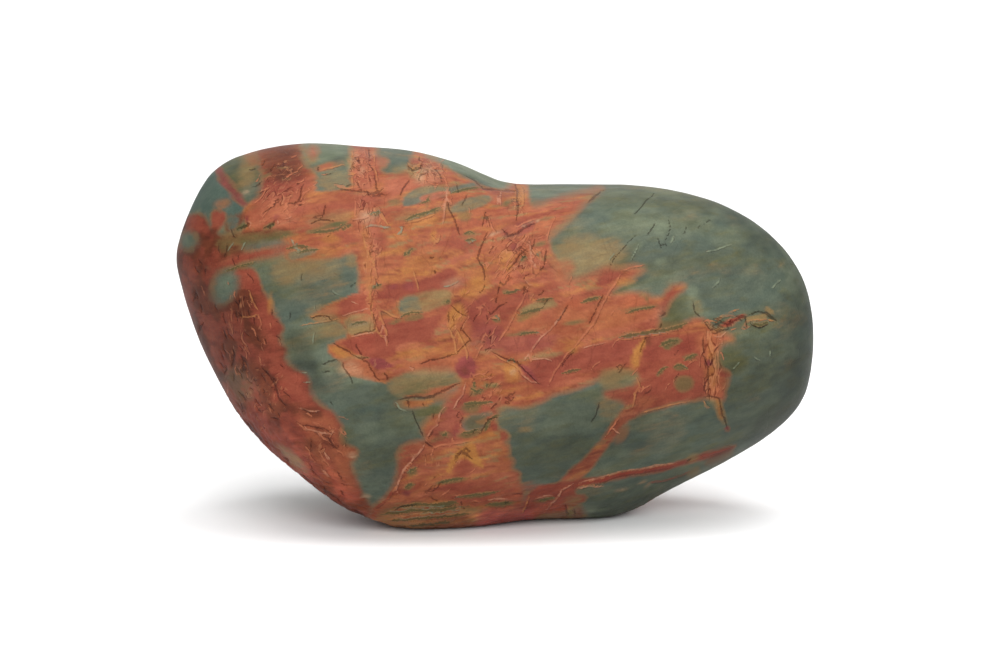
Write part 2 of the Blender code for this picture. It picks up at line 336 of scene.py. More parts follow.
# Smaller blocks and patches, traced area by area.
PATCHES = [
    # The left shoulder: teal and olive glass between red fingers.
    ("teal", 5, 1.0, [
        (195, 160), (212, 168), (220, 175), (228, 185), (237, 196), (246, 208), (240, 215),
        (231, 217), (227, 213), (226, 205), (220, 202), (214, 206), (209, 214), (204, 214),
        (199, 208), (193, 211), (184, 216), (165, 214), (180, 180)]),
    ("rust", 5, 0.9, [(226, 216), (240, 215), (247, 212), (244, 222), (236, 231), (224, 232)]),
    ("teal", 5, 0.8, [(227, 216), (236, 215), (240, 220), (236, 228), (230, 230), (226, 224)]),
    ("brick", 5, 0.95, [
        (211, 228), (211, 214), (216, 209), (223, 210), (227, 215), (225, 222), (220, 229),
        (214, 234)]),
    ("brick", 5, 0.8, [(193, 214), (200, 214), (203, 222), (202, 232), (196, 232), (193, 224)]),
    ("moss", 7, 0.55, [
        (222, 160), (236, 150), (256, 145), (258, 163), (260, 180), (262, 187), (257, 193),
        (251, 198), (246, 203), (242, 198), (236, 190), (229, 179), (221, 170)]),
    ("green", 9, 0.8, [(242, 180), (256, 178), (260, 186), (256, 194), (249, 200), (243, 196)]),
    ("orange", 7, 0.7, [(243, 150), (257, 148), (258, 164), (252, 168), (245, 163)]),
    ("plum", 3, 0.85, [
        (213, 168), (219, 164), (228, 178), (237, 188), (249, 206), (244, 208), (233, 198),
        (223, 187)]),
    # The dark red crown of the left hump.
    ("rust", 20, 0.85, [
        (262, 120), (290, 120), (300, 140), (307, 158), (298, 172), (286, 168), (276, 178),
        (264, 176), (260, 150)]),
    ("brick", 5, 0.7, [(262, 182), (280, 180), (290, 186), (288, 194), (276, 198), (262, 200)]),
    ("brick", 14, 0.6, [
        (262, 178), (286, 180), (304, 172), (312, 186), (306, 200), (280, 206), (252, 210),
        (258, 194)]),
    ("salmon", 12, 0.7, [
        (240, 218), (260, 200), (284, 194), (304, 192), (306, 216), (286, 230), (262, 230)]),
    ("moss", 2.6, 0.9, [(235, 230), (241, 224), (249, 222), (247, 226), (240, 230)]),
    ("moss", 2.6, 0.9, [(262, 229), (268, 223), (277, 222), (272, 228)]),
    ("moss", 9, 0.6, [
        (214, 240), (236, 234), (262, 232), (284, 230), (286, 238), (260, 242), (238, 252),
        (222, 254)]),
    ("green", 7, 0.6, [
        (238, 250), (244, 243), (262, 240), (284, 238), (284, 244), (262, 249), (246, 253)]),
    # The crown's olive cap and the square green window.
    ("celadon", 7, 0.7, [
        (300, 130), (350, 130), (350, 150), (340, 156), (326, 161), (312, 164), (303, 163),
        (302, 154)]),
    ("tan", 9, 0.5, [(302, 150), (312, 148), (318, 156), (314, 164), (304, 163)]),
    ("salmon", 7, 0.6, [(309, 148), (316, 147), (317, 156), (311, 158)]),
    ("orange", 2.6, 0.8, [(318, 165), (330, 162), (335, 164), (328, 169), (319, 172)]),
    ("green", 2.3, 1.0, [
        (319, 171), (332, 170), (350, 163), (351, 176), (351, 186), (340, 190), (330, 191),
        (317, 192), (316, 184)]),
    ("tan", 2.6, 0.6, [(338, 188), (346, 185), (351, 188), (344, 191)]),
    # The upper field: salmon, brick and orange beds.
    ("brick", 11, 0.5, [
        (316, 194), (345, 192), (358, 196), (384, 196), (388, 206), (372, 212), (350, 212),
        (330, 216), (312, 214), (306, 204)]),
    ("salmon", 11, 0.9, [
        (384, 180), (402, 176), (424, 178), (440, 184), (420, 188), (404, 192), (396, 200),
        (384, 196)]),
    ("brick", 7, 0.7, [(331, 233), (344, 230), (352, 232), (350, 243), (338, 240)]),
    ("brick", 9, 0.75, [(372, 230), (386, 234), (390, 246), (382, 252), (374, 246), (371, 238)]),
    ("salmon", 9, 0.9, [
        (352, 146), (375, 146), (378, 190), (352, 192)]),
    ("brick", 9, 0.6, [(436, 236), (460, 238), (476, 246), (470, 254), (446, 250), (434, 246)]),
    ("tan", 11, 0.5, [(306, 218), (330, 214), (352, 212), (352, 220), (330, 224), (308, 226)]),
    ("ochre", 14, 0.5, [(404, 256), (440, 252), (444, 266), (420, 276), (404, 272)]),
    ("ochre", 14, 0.45, [(300, 252), (336, 248), (342, 254), (320, 262), (302, 262)]),
    ("ochre", 11, 0.5, [(408, 214), (440, 214), (440, 222), (424, 226), (408, 224)]),
    ("green", 2.6, 0.9, [
        (402, 202), (408, 192), (418, 187), (432, 186), (446, 187), (464, 185), (474, 182),
        (480, 186), (470, 189), (452, 193), (440, 198), (428, 200), (414, 205), (404, 207)]),
    ("salmon", 2.6, 0.9, [(420, 197), (428, 194), (446, 190), (448, 194), (436, 200), (424, 202)]),
    ("green", 3.2, 0.9, [
        (452, 207), (462, 200), (476, 196), (487, 195), (492, 198), (488, 204), (474, 209),
        (460, 213), (450, 213)]),
    ("moss", 2.6, 0.8, [
        (405, 222), (408, 217), (420, 214), (436, 209), (441, 208), (442, 212), (428, 216),
        (414, 221)]),
    ("moss", 5, 0.5, [(457, 213), (466, 210), (472, 214), (470, 221), (462, 222), (457, 218)]),
    ("green", 5, 0.6, [(364, 214), (378, 211), (381, 215), (376, 218), (366, 218)]),
    ("tan", 22, 0.7, [
        (280, 260), (304, 258), (332, 260), (340, 266), (330, 276), (312, 276), (292, 282),
        (276, 280), (272, 270)]),
    ("salmon", 9, 0.7, [
        (354, 196), (374, 196), (378, 250), (380, 318), (368, 318), (360, 250)]),
    ("ochre", 7, 0.4, [(358, 226), (370, 226), (376, 300), (368, 310)]),
    ("moss", 5, 0.6, [(386, 200), (400, 198), (402, 206), (390, 206)]),
    ("moss", 2.6, 0.7, [(305, 230), (322, 228), (334, 222), (346, 220), (350, 222), (344, 227),
                      (330, 229), (318, 232), (306, 233)]),
    ("green", 2.6, 0.85, [
        (288, 252), (298, 250), (310, 248), (318, 249), (313, 254), (302, 257), (290, 261)]),
    ("green", 6, 0.6, [(262, 239), (276, 240), (292, 243), (286, 247), (270, 248), (260, 247)]),
    # The dark strip and blocks of brick left of the middle.
    ("brick", 2.3, 1.0, [
        (384, 287), (398, 283), (400, 285), (411, 281), (416, 283), (418, 281), (433, 277),
        (437, 273), (447, 268), (457, 269), (456, 276), (450, 282), (445, 287), (438, 290),
        (430, 292), (419, 292), (410, 296), (400, 299), (388, 300), (376, 299), (372, 296),
        (376, 293), (384, 291)]),
    ("plum", 5, 0.7, [(402, 285), (411, 282), (415, 286), (411, 291), (402, 290)]),
    ("brick", 2.3, 0.95, [
        (336, 303), (345, 299), (354, 294), (366, 293), (369, 300), (371, 308), (362, 311),
        (352, 314), (341, 316), (338, 310)]),
    ("brick", 2.6, 0.95, [
        (341, 341), (357, 336), (375, 332), (384, 322), (400, 322), (415, 319), (430, 316),
        (443, 312), (441, 322), (436, 330), (432, 338), (425, 343), (410, 341), (396, 345),
        (396, 355), (388, 358), (370, 358), (357, 355), (345, 346)]),
    ("ochre", 14, 0.5, [(402, 350), (420, 346), (430, 352), (422, 362), (404, 360)]),
    ("tan", 2.6, 0.9, [(343, 319), (374, 311), (374, 331), (368, 332), (350, 336), (345, 328)]),
    ("orange", 5, 0.7, [(350, 320), (370, 313), (372, 321), (356, 323)]),
    ("green", 5, 0.9, [(347, 325), (353, 322), (364, 321), (368, 323), (362, 326), (350, 328)]),
    ("tan", 5, 0.7, [(309, 314), (330, 312), (340, 316), (338, 322), (318, 322), (308, 318)]),
    ("orange", 5, 0.7, [(318, 312), (328, 304), (340, 303), (340, 314), (328, 314)]),
    ("tan", 5, 0.8, [
        (397, 299), (412, 296), (430, 290), (452, 290), (452, 302), (436, 308), (408, 317),
        (397, 316)]),
    ("green", 2.1, 0.95, [
        (399, 298), (418, 293), (420, 312), (414, 309), (408, 313), (398, 312)]),
    ("moss", 2.6, 0.7, [(404, 318), (414, 315), (422, 314), (424, 318), (414, 321), (404, 321)]),
    ("orange", 8, 0.8, [(404, 360), (458, 352), (460, 372), (430, 374), (404, 374)]),
    ("tan", 11, 0.7, [
        (396, 377), (412, 372), (434, 370), (454, 372), (458, 382), (440, 388), (424, 392),
        (404, 396), (390, 392), (388, 384)]),
    ("moss", 13, 0.6, [
        (402, 384), (430, 380), (456, 378), (460, 384), (440, 388), (420, 393), (404, 395)]),
    ("ochre", 5, 0.9, [(328, 345), (338, 346), (349, 354), (345, 357), (337, 357), (330, 352)]),
    ("orange", 2.6, 0.9, [
        (342, 362), (352, 358), (364, 361), (371, 366), (376, 374), (382, 382), (366, 381),
        (356, 378), (349, 376), (345, 369)]),
    ("plum", 2.3, 1.0, [
        (367, 360), (374, 357), (382, 357), (388, 361), (390, 366), (384, 368), (376, 369),
        (371, 365)]),
    ("ochre", 2.6, 0.9, [
        (401, 401), (406, 400), (421, 400), (436, 400), (430, 405), (416, 408), (406, 407)]),
    ("orange", 2.6, 0.9, [(401, 398), (412, 394), (436, 388), (456, 383), (462, 383), (450, 391),
                        (436, 396), (420, 397)]),
    # The middle: plum, deep brick and brick-pink blocks between steep veins.
    ("ochre", 5, 0.8, [
        (462, 306), (453, 309), (448, 313), (450, 330), (455, 330), (458, 318), (465, 312)]),
    ("ochre", 11, 0.5, [(462, 292), (472, 272), (488, 268), (490, 284), (478, 298), (466, 302)]),
    ("plum", 5, 0.75, [
        (472, 302), (484, 294), (493, 300), (490, 310), (493, 320), (489, 328), (480, 331),
        (472, 326), (467, 316)]),
    ("brick", 7, 0.85, [
        (474, 300), (500, 290), (530, 292), (532, 300), (520, 306), (512, 314), (504, 330),
        (498, 338), (484, 336), (468, 328), (464, 314)]),
    ("plum", 9, 0.5, [
        (472, 326), (500, 324), (503, 338), (497, 348), (480, 350), (462, 346), (464, 334)]),
    ("tan", 3.2, 0.9, [
        (517, 310), (534, 302), (552, 298), (559, 306), (540, 311), (524, 314)]),
    ("moss", 2.3, 0.9, [(536, 303), (551, 298), (554, 300), (542, 304)]),
    ("moss", 2.3, 0.8, [(519, 312), (536, 308), (550, 307), (540, 310), (526, 313)]),
    ("plum", 4, 0.5, [
        (500, 232), (508, 226), (520, 222), (533, 218), (535, 226), (528, 234), (515, 240),
        (503, 238)]),
    ("orange", 14, 0.7, [(520, 318), (560, 306), (620, 300), (640, 320), (600, 334), (540, 336)]),
    ("brick", 9, 0.5, [(504, 336), (530, 332), (545, 338), (530, 356), (506, 354)]),
    ("salmon", 9, 0.3, [
        (500, 334), (530, 328), (556, 330), (562, 344), (540, 352), (522, 358), (502, 356)]),
    ("brick", 5, 0.7, [(538, 289), (556, 284), (562, 296), (550, 300), (538, 303), (532, 296)]),
    ("plum", 9, 0.55, [
        (486, 336), (520, 338), (560, 334), (556, 346), (530, 352), (500, 352), (484, 348)]),
    ("plum", 9, 0.4, [
        (600, 344), (640, 342), (664, 338), (690, 342), (694, 352), (650, 358), (610, 360)]),
    ("moss", 2.3, 0.85, [(503, 289), (514, 292), (503, 296)]),
    ("tan", 2.6, 0.8, [(534, 357), (550, 353), (563, 351), (563, 355), (545, 359)]),
    ("moss", 5, 0.6, [(516, 318), (526, 312), (537, 309), (540, 313), (528, 319), (518, 323)]),
    ("plum", 3.2, 0.6, [
        (528, 363), (545, 359), (560, 356), (575, 352), (592, 347), (610, 343), (637, 341),
        (632, 360), (615, 362), (598, 364), (580, 368), (565, 372), (556, 380), (548, 388),
        (538, 384), (530, 372)]),
    ("brick", 7, 0.85, [
        (526, 362), (560, 354), (604, 342), (640, 338), (644, 352), (630, 366), (596, 370),
        (566, 378), (550, 391), (536, 388), (524, 378)]),
    ("plum", 2.6, 0.9, [(517, 364), (528, 366), (533, 372), (539, 382), (532, 378), (524, 372)]),
    ("ochre", 5, 0.7, [(503, 360), (515, 360), (518, 372), (514, 383), (506, 380), (505, 370)]),
    ("pale", 2.6, 0.5, [(511, 369), (518, 368), (517, 375), (512, 375)]),
    ("tan", 25, 0.75, [
        (553, 252), (568, 240), (590, 238), (620, 244), (628, 254), (610, 264), (590, 274),
        (566, 280), (556, 266)]),
    ("orange", 9, 0.7, [(552, 262), (566, 258), (576, 264), (570, 280), (560, 282)]),
    ("plum", 5, 0.7, [(508, 246), (518, 243), (523, 250), (514, 254)]),
    ("plum", 5, 0.35, [(500, 226), (520, 223), (534, 222), (530, 232), (512, 236), (500, 234)]),
    ("ochre", 9, 0.4, [(499, 251), (512, 248), (514, 262), (504, 272), (498, 264)]),
    ("ochre", 5, 0.75, [(514, 184), (527, 184), (526, 200), (518, 204)]),
    # The brick and orange beds right of the middle, and the olive ones between them.
    ("brick", 3.2, 0.9, [
        (594, 285), (602, 274), (612, 271), (624, 270), (621, 277), (612, 281), (604, 287)]),
    ("ochre", 5, 0.7, [(612, 282), (624, 278), (636, 278), (632, 284), (618, 287)]),
    ("moss", 8, 0.8, [
        (671, 300), (683, 296), (697, 299), (701, 306), (700, 313), (692, 316), (684, 318),
        (686, 324), (674, 328), (660, 331), (656, 326), (661, 318), (665, 308)]),
    ("celadon", 8, 0.55, [(686, 297), (698, 296), (706, 308), (700, 317), (688, 314)]),
    ("tan", 7, 0.35, [(688, 299), (700, 299), (704, 312), (694, 316)]),
    ("green", 9, 0.3, [(676, 302), (694, 300), (698, 310), (686, 315), (674, 314)]),
    ("brick", 7, 0.75, [(664, 293), (674, 287), (677, 292), (671, 302), (666, 315), (660, 316)]),
    ("brick", 9, 0.9, [
        (640, 338), (660, 334), (690, 330), (705, 334), (708, 350), (704, 366), (708, 380),
        (703, 396), (680, 402), (650, 410), (634, 412), (636, 396), (641, 380), (634, 366)]),
    ("brick", 5, 0.8, [
        (603, 396), (606, 390), (620, 388), (638, 386), (640, 398), (634, 402), (618, 398)]),
    ("tan", 14, 0.5, [(596, 402), (606, 398), (622, 402), (618, 418), (604, 420)]),
    ("rust", 5, 0.6, [(643, 337), (652, 335), (653, 343), (646, 346), (642, 343)]),
    ("tan", 9, 0.6, [
        (600, 372), (614, 368), (636, 370), (638, 380), (620, 386), (600, 388)]),
    ("moss", 9, 0.35, [
        (600, 371), (612, 369), (626, 368), (637, 372), (634, 380), (620, 383), (604, 384)]),
    ("ochre", 2.6, 0.95, [
        (646, 335), (644, 338), (636, 346), (631, 356), (631, 364), (636, 368), (640, 362),
        (641, 352), (646, 344)]),
    ("moss", 2.6, 0.85, [(660, 343), (670, 337), (680, 337), (683, 342), (676, 345), (666, 351)]),
    ("moss", 2.6, 0.8, [(656, 376), (663, 367), (668, 365), (665, 370), (660, 376)]),
    ("moss", 2.6, 0.8, [(673, 368), (680, 363), (688, 370), (678, 372)]),
    ("moss", 2.6, 0.8, [(682, 359), (690, 355), (699, 353), (692, 362)]),
    ("moss", 5, 0.75, [(675, 378), (686, 376), (694, 380), (692, 390), (680, 392), (674, 386)]),
    ("orange", 7, 0.8, [
        (700, 330), (716, 332), (722, 360), (724, 396), (708, 398), (703, 362)]),
    ("ochre", 5, 0.4, [(706, 340), (714, 340), (718, 392), (710, 394)]),
    ("tan", 5, 0.7, [
        (706, 398), (714, 396), (722, 402), (724, 412), (728, 426), (722, 424), (716, 410)]),
    ("ochre", 5, 0.8, [(714, 399), (721, 399), (725, 418), (720, 420)]),
    ("brick", 2.6, 0.85, [(716, 369), (723, 366), (731, 372), (730, 377), (720, 377)]),
    ("plum", 2.6, 0.9, [(705, 360), (711, 359), (713, 364), (707, 367)]),
    ("moss", 13, 0.7, [
        (714, 356), (726, 350), (744, 352), (748, 366), (738, 376), (726, 370), (716, 366)]),
    ("brick", 2.1, 1.0, [
        (717, 326), (722, 323), (727, 320), (736, 317), (745, 314), (747, 317), (738, 321),
        (731, 326), (724, 327)]),
    ("tan", 2.1, 1.0, [(747, 318), (755, 315), (763, 313), (767, 316), (758, 320), (750, 322)]),
    ("tan", 2.3, 0.9, [(763, 309), (768, 307), (772, 311), (773, 316), (768, 313)]),
    ("moss", 29, 0.3, [
        (588, 190), (640, 187), (690, 192), (712, 204), (700, 212), (660, 208), (620, 210),
        (594, 204)]),
    ("celadon", 32, 0.4, [(616, 214), (650, 210), (692, 214), (694, 232), (664, 240), (624, 236)]),
    ("moss", 13, 0.5, [(610, 268), (624, 250), (641, 242), (637, 256), (624, 268)]),
    ("celadon", 5, 0.6, [
        (408, 130), (430, 130), (460, 158), (486, 168), (514, 181), (512, 188), (500, 190),
        (478, 178), (456, 172), (440, 164), (424, 156)]),
    # The lower field: a pale-veined orange wedge, its ochre crest and the dusky foot.
    ("ochre", 2.6, 0.95, [
        (446, 474), (448, 466), (453, 456), (459, 448), (466, 443), (473, 441), (477, 450),
        (480, 460), (484, 469), (476, 467), (466, 458), (458, 460), (452, 472)]),
    ("brick", 7, 0.8, [(454, 466), (462, 459), (470, 462), (476, 469), (466, 475), (454, 475)]),
    ("brick", 9, 0.6, [
        (402, 450), (424, 444), (426, 452), (412, 468), (402, 480), (396, 490), (390, 488),
        (398, 470)]),
    ("brick", 9, 0.6, [
        (470, 390), (490, 386), (500, 396), (492, 410), (478, 414), (462, 412), (458, 402)]),
    ("brick", 3.2, 0.9, [(489, 425), (497, 423), (500, 430), (492, 434)]),
    ("brick", 3.2, 0.85, [(499, 433), (506, 432), (508, 440), (500, 442)]),
    ("plum", 2.6, 0.9, [(451, 437), (453, 428), (456, 421), (459, 429), (456, 438)]),
    ("plum", 3.2, 0.8, [(401, 496), (404, 491), (411, 491), (409, 498)]),
    ("brick", 11, 0.7, [
        (440, 490), (470, 482), (520, 486), (528, 500), (500, 503), (470, 502), (440, 502)]),
    ("moss", 5, 0.7, [(460, 410), (466, 405), (482, 402), (480, 412), (470, 415)]),
    ("green", 3, 0.8, [
        (460, 421), (470, 415), (492, 411), (494, 414), (482, 419), (474, 422), (484, 424),
        (490, 421), (488, 428), (474, 431), (464, 430)]),
    ("moss", 4, 0.5, [(462, 422), (474, 416), (488, 414), (484, 426), (470, 429)]),
    ("plum", 9, 0.4, [
        (463, 386), (444, 406), (430, 428), (428, 440), (462, 438), (464, 418), (470, 398)]),
    ("moss", 9, 0.4, [
        (378, 508), (400, 504), (430, 502), (458, 506), (480, 512), (470, 540), (370, 540)]),
    ("rust", 11, 0.7, [
        (420, 514), (450, 514), (478, 516), (478, 560), (420, 560)]),
    ("plum", 9, 0.8, [
        (476, 511), (500, 508), (526, 506), (534, 514), (530, 560), (474, 560)]),
    ("tan", 9, 0.5, [(562, 498), (580, 494), (584, 504), (572, 508)]),
    ("rust", 11, 0.7, [
        (532, 512), (556, 506), (584, 506), (586, 522), (586, 560), (530, 560)]),
    ("rust", 9, 0.65, [(706, 458), (718, 448), (734, 444), (732, 456), (716, 464), (704, 466)]),
    ("tan", 7, 0.6, [(686, 472), (698, 467), (700, 474), (690, 480)]),
    # The left end: deep rust, with a brick block and a brighter margin.
    ("brick", 9, 0.8, [
        (206, 268), (212, 262), (226, 259), (243, 253), (262, 250), (290, 244), (292, 249),
        (280, 256), (254, 260), (235, 265), (218, 273)]),
    ("moss", 5, 0.8, [(224, 271), (236, 266), (248, 262), (257, 262), (246, 268), (232, 272)]),
    ("brick", 7, 0.9, [
        (235, 269), (254, 268), (257, 278), (262, 289), (260, 297), (250, 292), (240, 284),
        (236, 276)]),
    ("brick", 14, 0.75, [
        (262, 292), (270, 306), (280, 326), (280, 346), (290, 366), (308, 376), (312, 398),
        (334, 414), (342, 430), (340, 446), (322, 440), (304, 414), (286, 396), (272, 366),
        (262, 330), (256, 304)]),
    ("orange", 7, 0.8, [
        (341, 446), (350, 446), (358, 450), (356, 458), (350, 462), (343, 456)]),
    ("orange", 14, 0.6, [
        (298, 408), (322, 409), (336, 421), (346, 446), (352, 470), (360, 490), (345, 484),
        (330, 470), (316, 450), (304, 430)]),
    ("rust", 5, 0.6, [(312, 424), (328, 432), (338, 448), (330, 450), (318, 438)]),
    ("plum", 14, 0.3, [(240, 410), (270, 416), (296, 440), (330, 480), (300, 500), (236, 440)]),
    ("rust", 7, 0.9, [(300, 409), (311, 406), (323, 410), (322, 418), (312, 420), (302, 417)]),
    ("moss", 11, 0.55, [(341, 428), (352, 428), (353, 440), (346, 447), (340, 440)]),
    ("celadon", 16, 0.25, [(224, 370), (240, 366), (254, 384), (254, 400), (240, 402), (226, 386)]),
]
for row in PATCHES:
    stain(*row)


# Round and lens-shaped marks, most of them slivers of unstained glass left in the beds:
# pigment, edge and strength, then each one's middle, half sizes and tilt.
LENSES = [
    ("teal", 13.5, 0.95, [(188, 241, 9, 9.5, 0), (225, 287, 12, 16, -20)]),
    ("celadon", 16, 0.6, [(188, 241, 6, 6, 0), (224, 286, 10, 14, -20)]),
    ("moss", 6, 0.9, [(474, 511, 8, 2, 3)]),
    ("green", 8, 0.55, [(292, 459, 17, 4, -42)]),
    ("plum", 2.8, 0.95, [
        (247.5, 218.5, 2, 2, 0), (276.5, 217.5, 2.2, 2.2, 0), (466, 368, 11, 11, 0),
        (394, 287.5, 4, 1.6, 12), (709, 363, 3, 2.2, 0),
        (728, 429, 2.4, 2.4, 0), (391, 365, 3, 2, 0)]),
    ("rust", 4.5, 0.7, [
        (214, 230, 4, 4, 0), (283, 154, 7, 3, 10), (270, 170, 5, 3, 20), (290, 171, 5, 3, 0),
        (280, 180, 4, 3, 0), (236, 250, 8, 6, 0), (464, 371, 4, 3, 0), (459, 304, 4, 3, 10),
        (580, 512, 2, 6, 0), (648, 340, 3, 4, 0)]),
    ("moss", 3, 0.85, [
        (266, 176, 4, 1, 10), (283, 168, 4, 1, 5), (295, 172, 4, 1, 15), (287, 179, 3, 1, 0),
        (279, 237.5, 16, 2, 8), (429, 201, 5, 1.2, 80), (375, 214, 5, 2, 12),
        (469.5, 233.5, 5, 1.8, 12), (471, 239.5, 4, 1.5, 12), (507.5, 203, 5, 2, 20),
        (540.5, 244.5, 6, 2, 15), (524, 259, 4.5, 1.8, 40), (538, 255, 2.5, 2, 30),
        (495.5, 319.5, 3, 3.5, 40), (522, 333.5, 12, 1.4, 8), (572, 350, 3, 2, 0),
        (474, 388, 4.5, 2, 80), (486.5, 386, 3.5, 1.8, 80),
        (477, 393, 6.5, 2.4, 20), (494.5, 386, 4, 2, 10), (472, 405, 8, 2.5, 15),
        (470, 434, 10, 3, 15), (395, 321, 6, 1.5, 20), (446.5, 302.5, 4, 2.3, 10),
        (407.5, 253, 3, 2.5, 30), (412.5, 249, 3, 1.2, 10), (287, 234.5, 5, 2.3, 15),
        (589.5, 299.5, 9, 1.6, 12), (575, 322, 10, 1.8, 10), (624, 289.5, 12, 1.6, 24),
        (647.5, 297, 1.2, 5, 0), (641, 308, 16, 1.6, 10), (760, 325, 8, 1.4, 5),
        (451, 482, 14, 2, 10), (413, 471.5, 5, 3, 45), (409, 486.5, 5, 3, 30),
        (478, 495, 12, 2.3, 8), (441.5, 505.5, 14, 2.2, 5), (499.5, 504.5, 13, 2, 5),
        (544, 500, 8, 1.6, 8), (445, 434, 4, 1.6, 10), (375, 288, 6, 2, 12),
        (419, 393, 10, 1.5, 5), (430, 411, 16, 5, 12), (467, 190, 14, 1.5, 10),
        (570, 512, 2, 6, 0), (338, 224.5, 8, 2, 8), (320, 232, 10, 1.2, 5)]),
    ("celadon", 4.5, 0.6, [
        (661.5, 229, 8, 6, 30), (660.5, 261, 6, 3.5, 20), (666.5, 276, 4, 1.6, 5),
        (693, 292, 6, 6, 0), (733, 229, 6, 3.5, 20), (673, 240.5, 5, 1.8, 60),
        
        (640, 247, 6, 2, 55)]),
    ("tan", 4.5, 0.8, [
        (415, 171, 8, 7, 0),
        (642, 295, 3, 2.5, 20), (503, 409, 7, 3, 10), (526, 429, 6, 2, 10),
        (693, 458, 6, 4, 10)]),
    ("ochre", 4.5, 0.7, [
        (332, 239.5, 9, 4, 5), (463, 293, 4, 4, 0), (477, 280, 6, 3, 15), (433, 235, 3, 6, -10),
        (270, 304, 2.5, 8, -8), (720, 329, 5, 2, 20), (517, 376, 4, 5, 0), (431, 504, 3, 1.6, 0),
        (571, 349.5, 7, 4, 0)]),
    ("orange", 7, 0.7, [
        (507, 278, 9, 6, 10), (524, 252, 8, 7, 0), (644, 402, 8, 6, 0), (440, 397, 15, 3.5, 14),
        (371, 307, 4, 8, 0), (715, 394, 8, 6, 0), (345, 199, 12, 5, 0), (513, 229, 6, 5, 0),
        (632, 301, 14, 5, 10), (576, 304, 14, 5, 10), (702, 342, 6, 8, 0)]),
    ("orange", 7, 0.6, [(572, 303, 9, 4, 10), (633, 300, 10, 4, 10), (403, 216, 8, 4, 10),
                        (411, 404, 12, 4, 0), (381, 193, 7, 4, 0), (622, 434, 5, 9, -35)]),
    ("green", 6, 0.6, [(510, 411, 9, 3.5, 0)]),
    ("brick", 8, 0.6, [
        (455, 427, 5, 9, 0), (209, 260, 7, 4, 0), (530, 487, 9, 4, 0), (547, 316, 8, 5, 10),
        (301, 211, 8, 7, 0), (330, 462, 5, 9, 30)]),
    ("tan", 8, 0.45, [
        (403, 404, 5, 4, 0), (351, 260, 4, 8, 0), (410, 215, 15, 4, 12), (334, 180, 17, 10, 0),
        (402, 170, 9, 5, 0), (351, 161, 4, 10, 0), (320, 310, 12, 5, 10), (353, 317, 8, 3, 5)]),
    ("tan", 13, 0.75, [(246, 173, 6, 15, 0), (450, 208, 6, 3, 0), (330, 330, 14, 6, 0)]),
    ("tan", 4, 0.4, [
        (410, 303, 11, 9, 0), (297, 253, 14, 4, 10), (430, 190, 26, 4, 12), (474, 203, 18, 5, 16)]),
    ("pale", 10, 0.5, [
        (350, 369, 10, 7, -20), (427, 176, 12, 9, 0), (452, 283, 7, 4, 20), (366, 218, 7, 6, 0)]),
    ("celadon", 7, 0.6, [(358, 381, 12, 3.5, 0)]),
    ("ochre", 7, 0.75, [(458, 313, 8, 9, 0), (463, 336, 5, 9, 20)]),
    ("orange", 8, 0.7, [(500, 297, 9, 6, 10), (466, 330, 6, 9, 0)]),
    ("rust", 10, 0.7, [(290, 172, 15, 7, 10)]),
    ("pale", 3.8, 0.6, [
        (246, 192, 3, 1.6, 10), (356, 159, 2, 3, 0), (362, 171, 2, 3, 0), (372, 155, 2, 3, 0),
        (524, 225, 1.8, 1.8, 0), (530, 222, 1.8, 1.8, 0), (537, 221, 1.8, 1.8, 0),
        (366, 496, 3.5, 2.2, 0), (621, 490, 4, 1, 10), (642, 482, 3, 1, 20), (649, 485, 3, 1, 30),
        (495, 233, 5, 1.6, 20), (352, 455, 4, 2, 10)]),
    ("salmon", 7.5, 0.7, [
        (382, 163, 6, 6, 0), (223, 203, 6, 3, 10), (313, 151, 5, 6, 0), (328, 166, 9, 2, 12),
        (432, 178, 8, 6, 0)]),
]
for pigment, edge, strength, ovals in LENSES:
    for oval in ovals:
        lens(pigment, edge, strength, *oval)


# Healed cracks and hairlines. Each point of the skin keeps how far it lies from the
# nearest one, to the side and in all, so that the finish can draw it crisp.
FAR = 9.0
SLACK = 0.9
FINER = 0.66
TAPER = 0.12
TINTS = {"calcite": 0.0, "salmon": 0.2, "amber": 0.4, "red": 0.6, "glass": 0.8, "moss": 1.0}
veins = np.full((len(place), 3), [FAR, FAR, 0.0])
cracks = np.full((len(place), 3), [FAR, FAR, 0.0])


def line(field, half_wide, route, tint=0.6):
    """Draws a line with tapered ends into the field of the nearest lines."""
    route = np.array(route, float)
    rows = np.flatnonzero(((shown > route.min(0) - 8) & (shown < route.max(0) + 8)).all(1))
    nearest = np.full(len(rows), np.inf)
    side, gone = np.zeros(len(rows)), np.zeros(len(rows))
    steps = np.diff(route, axis=0)
    lengths = np.hypot(*steps.T)
    for start, step, length, done in zip(route, steps, lengths, np.cumsum(lengths) - lengths):
        offset = shown[rows] - start
        t = np.clip((offset @ step) / length**2, 0, 1)
        away = np.hypot(*(offset - t[:, None] * step).T)
        closer = away < nearest
        nearest[closer] = away[closer]
        side[closer] = ((step[0] * offset[:, 1] - step[1] * offset[:, 0]) / length)[closer]
        gone[closer] = ((done + t * length) / lengths.sum())[closer]
    run, fall = route[-1] - route[0]
    side *= np.sign(run) if abs(run) > abs(fall) else -np.sign(fall)
    half = half_wide * np.clip(np.minimum(gone, 1 - gone) / TAPER, 0.25, 1)
    sideways, away = side / half, (nearest - SLACK) / half
    ahead = np.maximum(abs(sideways), away) < np.maximum(abs(field[rows, 0]), field[rows, 1])
    field[rows[ahead], 0] = np.clip(sideways[ahead], -FAR, FAR)
    field[rows[ahead], 1] = np.clip(away[ahead], -FAR, FAR)
    field[rows[ahead], 2] = tint


